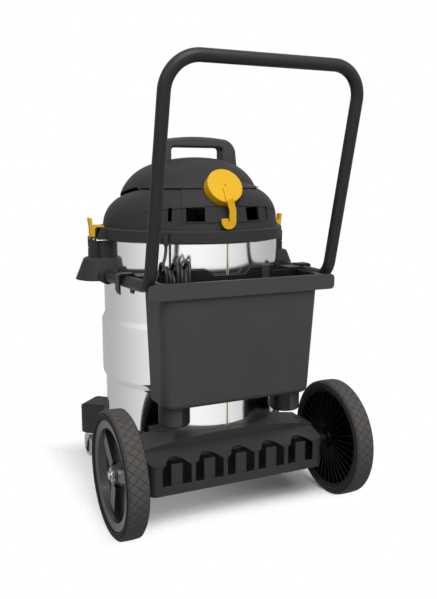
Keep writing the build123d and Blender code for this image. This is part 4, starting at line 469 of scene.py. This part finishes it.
def tyre(name, center, radius, tread_from, color):
    """Rubber with rings on its sides and diamonds on its tread; painted shade darkens the side walls and
    grooves, and painted highlights make the rings paler.
    """
    made = Surface(name, color, 0.78, Specular_IOR_Level=0.12)
    x, y, z = made.place()
    up = z - center[2]
    back = y - center[1]
    far = made.node("ShaderNodeMath", {"operation": "SQRT"}, [up * up + back * back])["Value"]
    turn = made.node("ShaderNodeMath", {"operation": "ARCTAN2"}, [up, back])["Value"]
    along = turn * radius
    tread = far.smooth(tread_from, tread_from + 0.001)
    rings = (far * ring_wave).sin().smooth(0.2, 0.9) * (1.0 - tread)
    sideways = (x - center[0]) * groove_slant
    leaning = ((along + sideways) * (math.pi / diamond_pitch)).sin()
    crossing = ((along - sideways) * (math.pi / diamond_pitch)).sin()
    grooves = (abs(leaning).smooth(0.05, 0.3)) * (abs(crossing).smooth(0.05, 0.3))
    dust = made.noise(40.0, 5.0)
    shade = made.blend(dust, [c * 0.75 for c in color], [c * 1.2 for c in color])
    # painted shade: the grooves are darkened to two thirds of the colour
    tread_groove_shade = made.blend(grooves, [c * 0.66 for c in color], shade)
    # painted shade and highlight: side walls near-black, their rings painted paler
    wall_shade_ring_highlights = made.blend(rings, [c * 0.14 for c in color], [c * 0.9 for c in color])
    made.set("Base Color", made.blend(tread, wall_shade_ring_highlights, tread_groove_shade))
    made.set("Roughness", dust * 0.2 + 0.66)
    made.bump(grooves * tread * 0.6 + rings * 0.35 + dust * 0.05, 0.0018, 0.8)
    return made


wheel_x = 0.2495
wheel_y = 0.226 + axis_y
wheel_radius = 0.127
tread_from = 0.1225
rubber = (0.085, 0.080, 0.076)
for side, wheel_middle in (("left", wheel_x), ("right", -wheel_x)):
    center = (wheel_middle, wheel_y, wheel_radius)
    tyre_with_painted_shade = tyre("wheel_rubber_" + side, center, wheel_radius, tread_from, rubber)
    tyre_with_painted_shade.dress("tyre_" + side)


# %% Grey caster tyres, cord and seals
def soft(name, color, roughness, scale):
    """Plain rubber with a faint bloom."""
    made = Surface(name, color, roughness)
    bloom = made.noise(scale, 4.0)
    made.set("Base Color", made.blend(bloom, [c * 0.85 for c in color], [c * 1.15 for c in color]))
    made.set("Roughness", bloom * 0.2 + (roughness - 0.1))
    made.bump(made.noise(scale * 20, 2.0), 0.0001, 0.4)
    return made


soft("caster_rubber", (0.50, 0.49, 0.47), 0.6, 60.0).dress("caster_tyre_left", "caster_tyre_right")
sheath = soft("cord_sheath", (0.007, 0.007, 0.007), 0.45, 90.0)
sheath.dress("plug", "cord_gland")
line.materials.append(sheath.material)
soft("seal_rubber", (0.03, 0.03, 0.03), 0.7, 50.0).dress("lid_gasket", "filter_caps")
soft("pleated_paper", (0.78, 0.74, 0.65), 0.85, 120.0).dress("filter_paper")

# %% [markdown]
# ## Plated hardware and a motor in painted shade
# Plated pressings are dull mirrors: metallic, medium rough, with a fine mottle. The motor and
# rotor are coloured near-black as painted shade, a steel with far less of a mirror in it, so they stay
# dark in the vents.

# %% Hardware
zinc = Surface("zinc_plate", (0.62, 0.62, 0.61), 0.32, 1.0)
mottle = zinc.noise(120.0, 4.0)
zinc.set("Base Color", zinc.blend(mottle, (0.52, 0.52, 0.52), (0.72, 0.72, 0.71)))
zinc.set("Roughness", mottle * 0.2 + 0.24)
zinc.bump(zinc.noise(900.0, 2.0), 0.00005, 0.4)
zinc.dress(
    "rear_axle",
    "axle_nuts",
    "caster_fork_left",
    "caster_fork_right",
    "caster_pin_left",
    "caster_pin_right",
    "inlet_screws",
    "handle_screws",
    "head_screws",
    "latch_pins",
)
# painted shade: the motor and rotor are near-black so they stay as dark as the shade around them
motor_shade_steel = Surface("motor_steel_in_painted_shade", (0.045, 0.044, 0.043), 0.5, 1.0)
stain = motor_shade_steel.noise(160.0, 4.0)
motor_shade_steel.set("Base Color", motor_shade_steel.blend(stain, (0.03, 0.029, 0.028), (0.06, 0.058, 0.056)))
motor_shade_steel.set("Roughness", stain * 0.2 + 0.42)
motor_shade_steel.bump(motor_shade_steel.noise(700.0, 2.0), 0.00005, 0.4)
motor_shade_steel.dress("motor_can", "rotor")

# %% [markdown]
# ## White studio
# The background is white to the eye, yet it must not flood the object with light. So the world
# tells rays apart: plain white for the camera, a graded tent for reflections, and a soft grey
# for everything else. The tent is brightest behind the viewer and falls off evenly to both
# sides, and that fall-off is all the shading that a polished drum has. The floor is a disc of
# paper that fades into the white just outside the wheels, so no horizon shows, and mirrors look
# through it into the tent. Under the machine it keeps a soft shadow, so that the wheels stand,
# and towards -X the paper's glow is turned down, a painted shadow that deepens the shade there.
# The largest lamp hangs above and behind the viewer, and two weak ones fill the sides.

# %% World
world = bpy.data.worlds.new("studio")
bpy.context.scene.world = world
world.use_nodes = True
tent = Tree(world.node_tree)
far, near, high = tent.split(tent.node("ShaderNodeTexCoord")["Generated"])
behind = math.radians(22.0)
facing = (far * math.sin(behind) + near * math.cos(behind)) * 0.5 + 0.5
tone = (facing ** 1.9) * 0.62 + 0.47 + high.smooth(0.2, 0.8) * 0.35
to_eye = tent.seen_by("Is Camera Ray")
in_mirror = tent.seen_by("Is Glossy Ray", "Is Transmission Ray")
ambient = 0.30
strength = to_eye + (1.0 - to_eye) * (in_mirror * tone + (1.0 - in_mirror) * ambient)
background = world.node_tree.nodes["Background"]
background.inputs["Color"].default_value = (1, 1, 1, 1)
tent.feed(background.inputs["Strength"], strength)
print("world: white to the camera, graded in reflections")

# %% Floor
reach = 0.8
sides = 96
ground = bpy.data.meshes.new("studio_floor")
turns = [math.tau * number / sides for number in range(sides)]
rim = [(math.cos(turn) * reach, math.sin(turn) * reach, 0) for turn in turns]
ground.from_pydata(rim, [], [tuple(range(sides))])
studio_floor = bpy.data.objects.new("studio_floor", ground)
bpy.context.scene.collection.objects.link(studio_floor)
paper = Surface("floor_paper", (0.93, 0.93, 0.93), 0.9, Specular_IOR_Level=0.0, Emission_Strength=1.0)
fibre = paper.noise(300.0, 2.0)
paper.set("Base Color", paper.blend(fibre, (0.92, 0.92, 0.92), (0.94, 0.94, 0.94)))
looked_at = paper.seen_by("Is Camera Ray")
x, y, z = paper.place()
# painted shadow: the floor's glow falls from 0.21 to 0.01 towards -X
glow_dimmed_for_painted_shadow = paper.blend(x.smooth(-0.20, 0.10), (0.01, 0.01, 0.01), (0.21, 0.21, 0.21))
paper.set("Emission Color", paper.blend(looked_at, (0, 0, 0), glow_dimmed_for_painted_shadow))
shadow_rear = 0.12
shadow_side = 0.22
shadow_front = -0.30
fade_width = 0.09
fade_front = 0.12
behind_it = (y - shadow_rear) / fade_width
beside_it = (abs(x) - shadow_side) / fade_width
before_it = (shadow_front - y) / fade_front
beyond = y.math("MAXIMUM", behind_it, y.math("MAXIMUM", beside_it, before_it))
clear = paper.node("ShaderNodeBsdfTransparent")["BSDF"]
lit = Value(paper, paper.shader.outputs["BSDF"])
mirrored = paper.seen_by("Is Glossy Ray", "Is Transmission Ray")
fade = beyond.smooth(0.0, 1.0)
gone = fade.math("MAXIMUM", fade, mirrored)
faded = paper.node("ShaderNodeMixShader", None, [gone, lit, clear])["Shader"]
paper.feed(paper.tree.nodes["Material Output"].inputs["Surface"], faded)
ground.materials.append(paper.material)
print("floor: paper that fades into white round the machine")


# %% Lamps
def lamp(name, place, target, size, power):
    """A square soft box that looks at a point."""
    data = bpy.data.lights.new(name, "AREA")
    data.shape = "SQUARE"
    data.size = size
    data.energy = power
    made = bpy.data.objects.new(name, data)
    bpy.context.scene.collection.objects.link(made)
    made.location = place
    made.rotation_euler = (Vector(target) - Vector(place)).to_track_quat("-Z", "Y").to_euler()
    return made


lamp("key_box", (2.3, 1.5, 1.9), (0, 0, 0.5), 1.6, 13)
lamp("fill_box", (-2.2, 2.1, 1.6), (0, 0, 0.5), 1.8, 9)
lamp("top_box", (0.2, 1.8, 2.7), (0, 0, 0.4), 2.2, 76)
bpy.context.scene.view_settings.view_transform = "Standard"
print("studio ready")
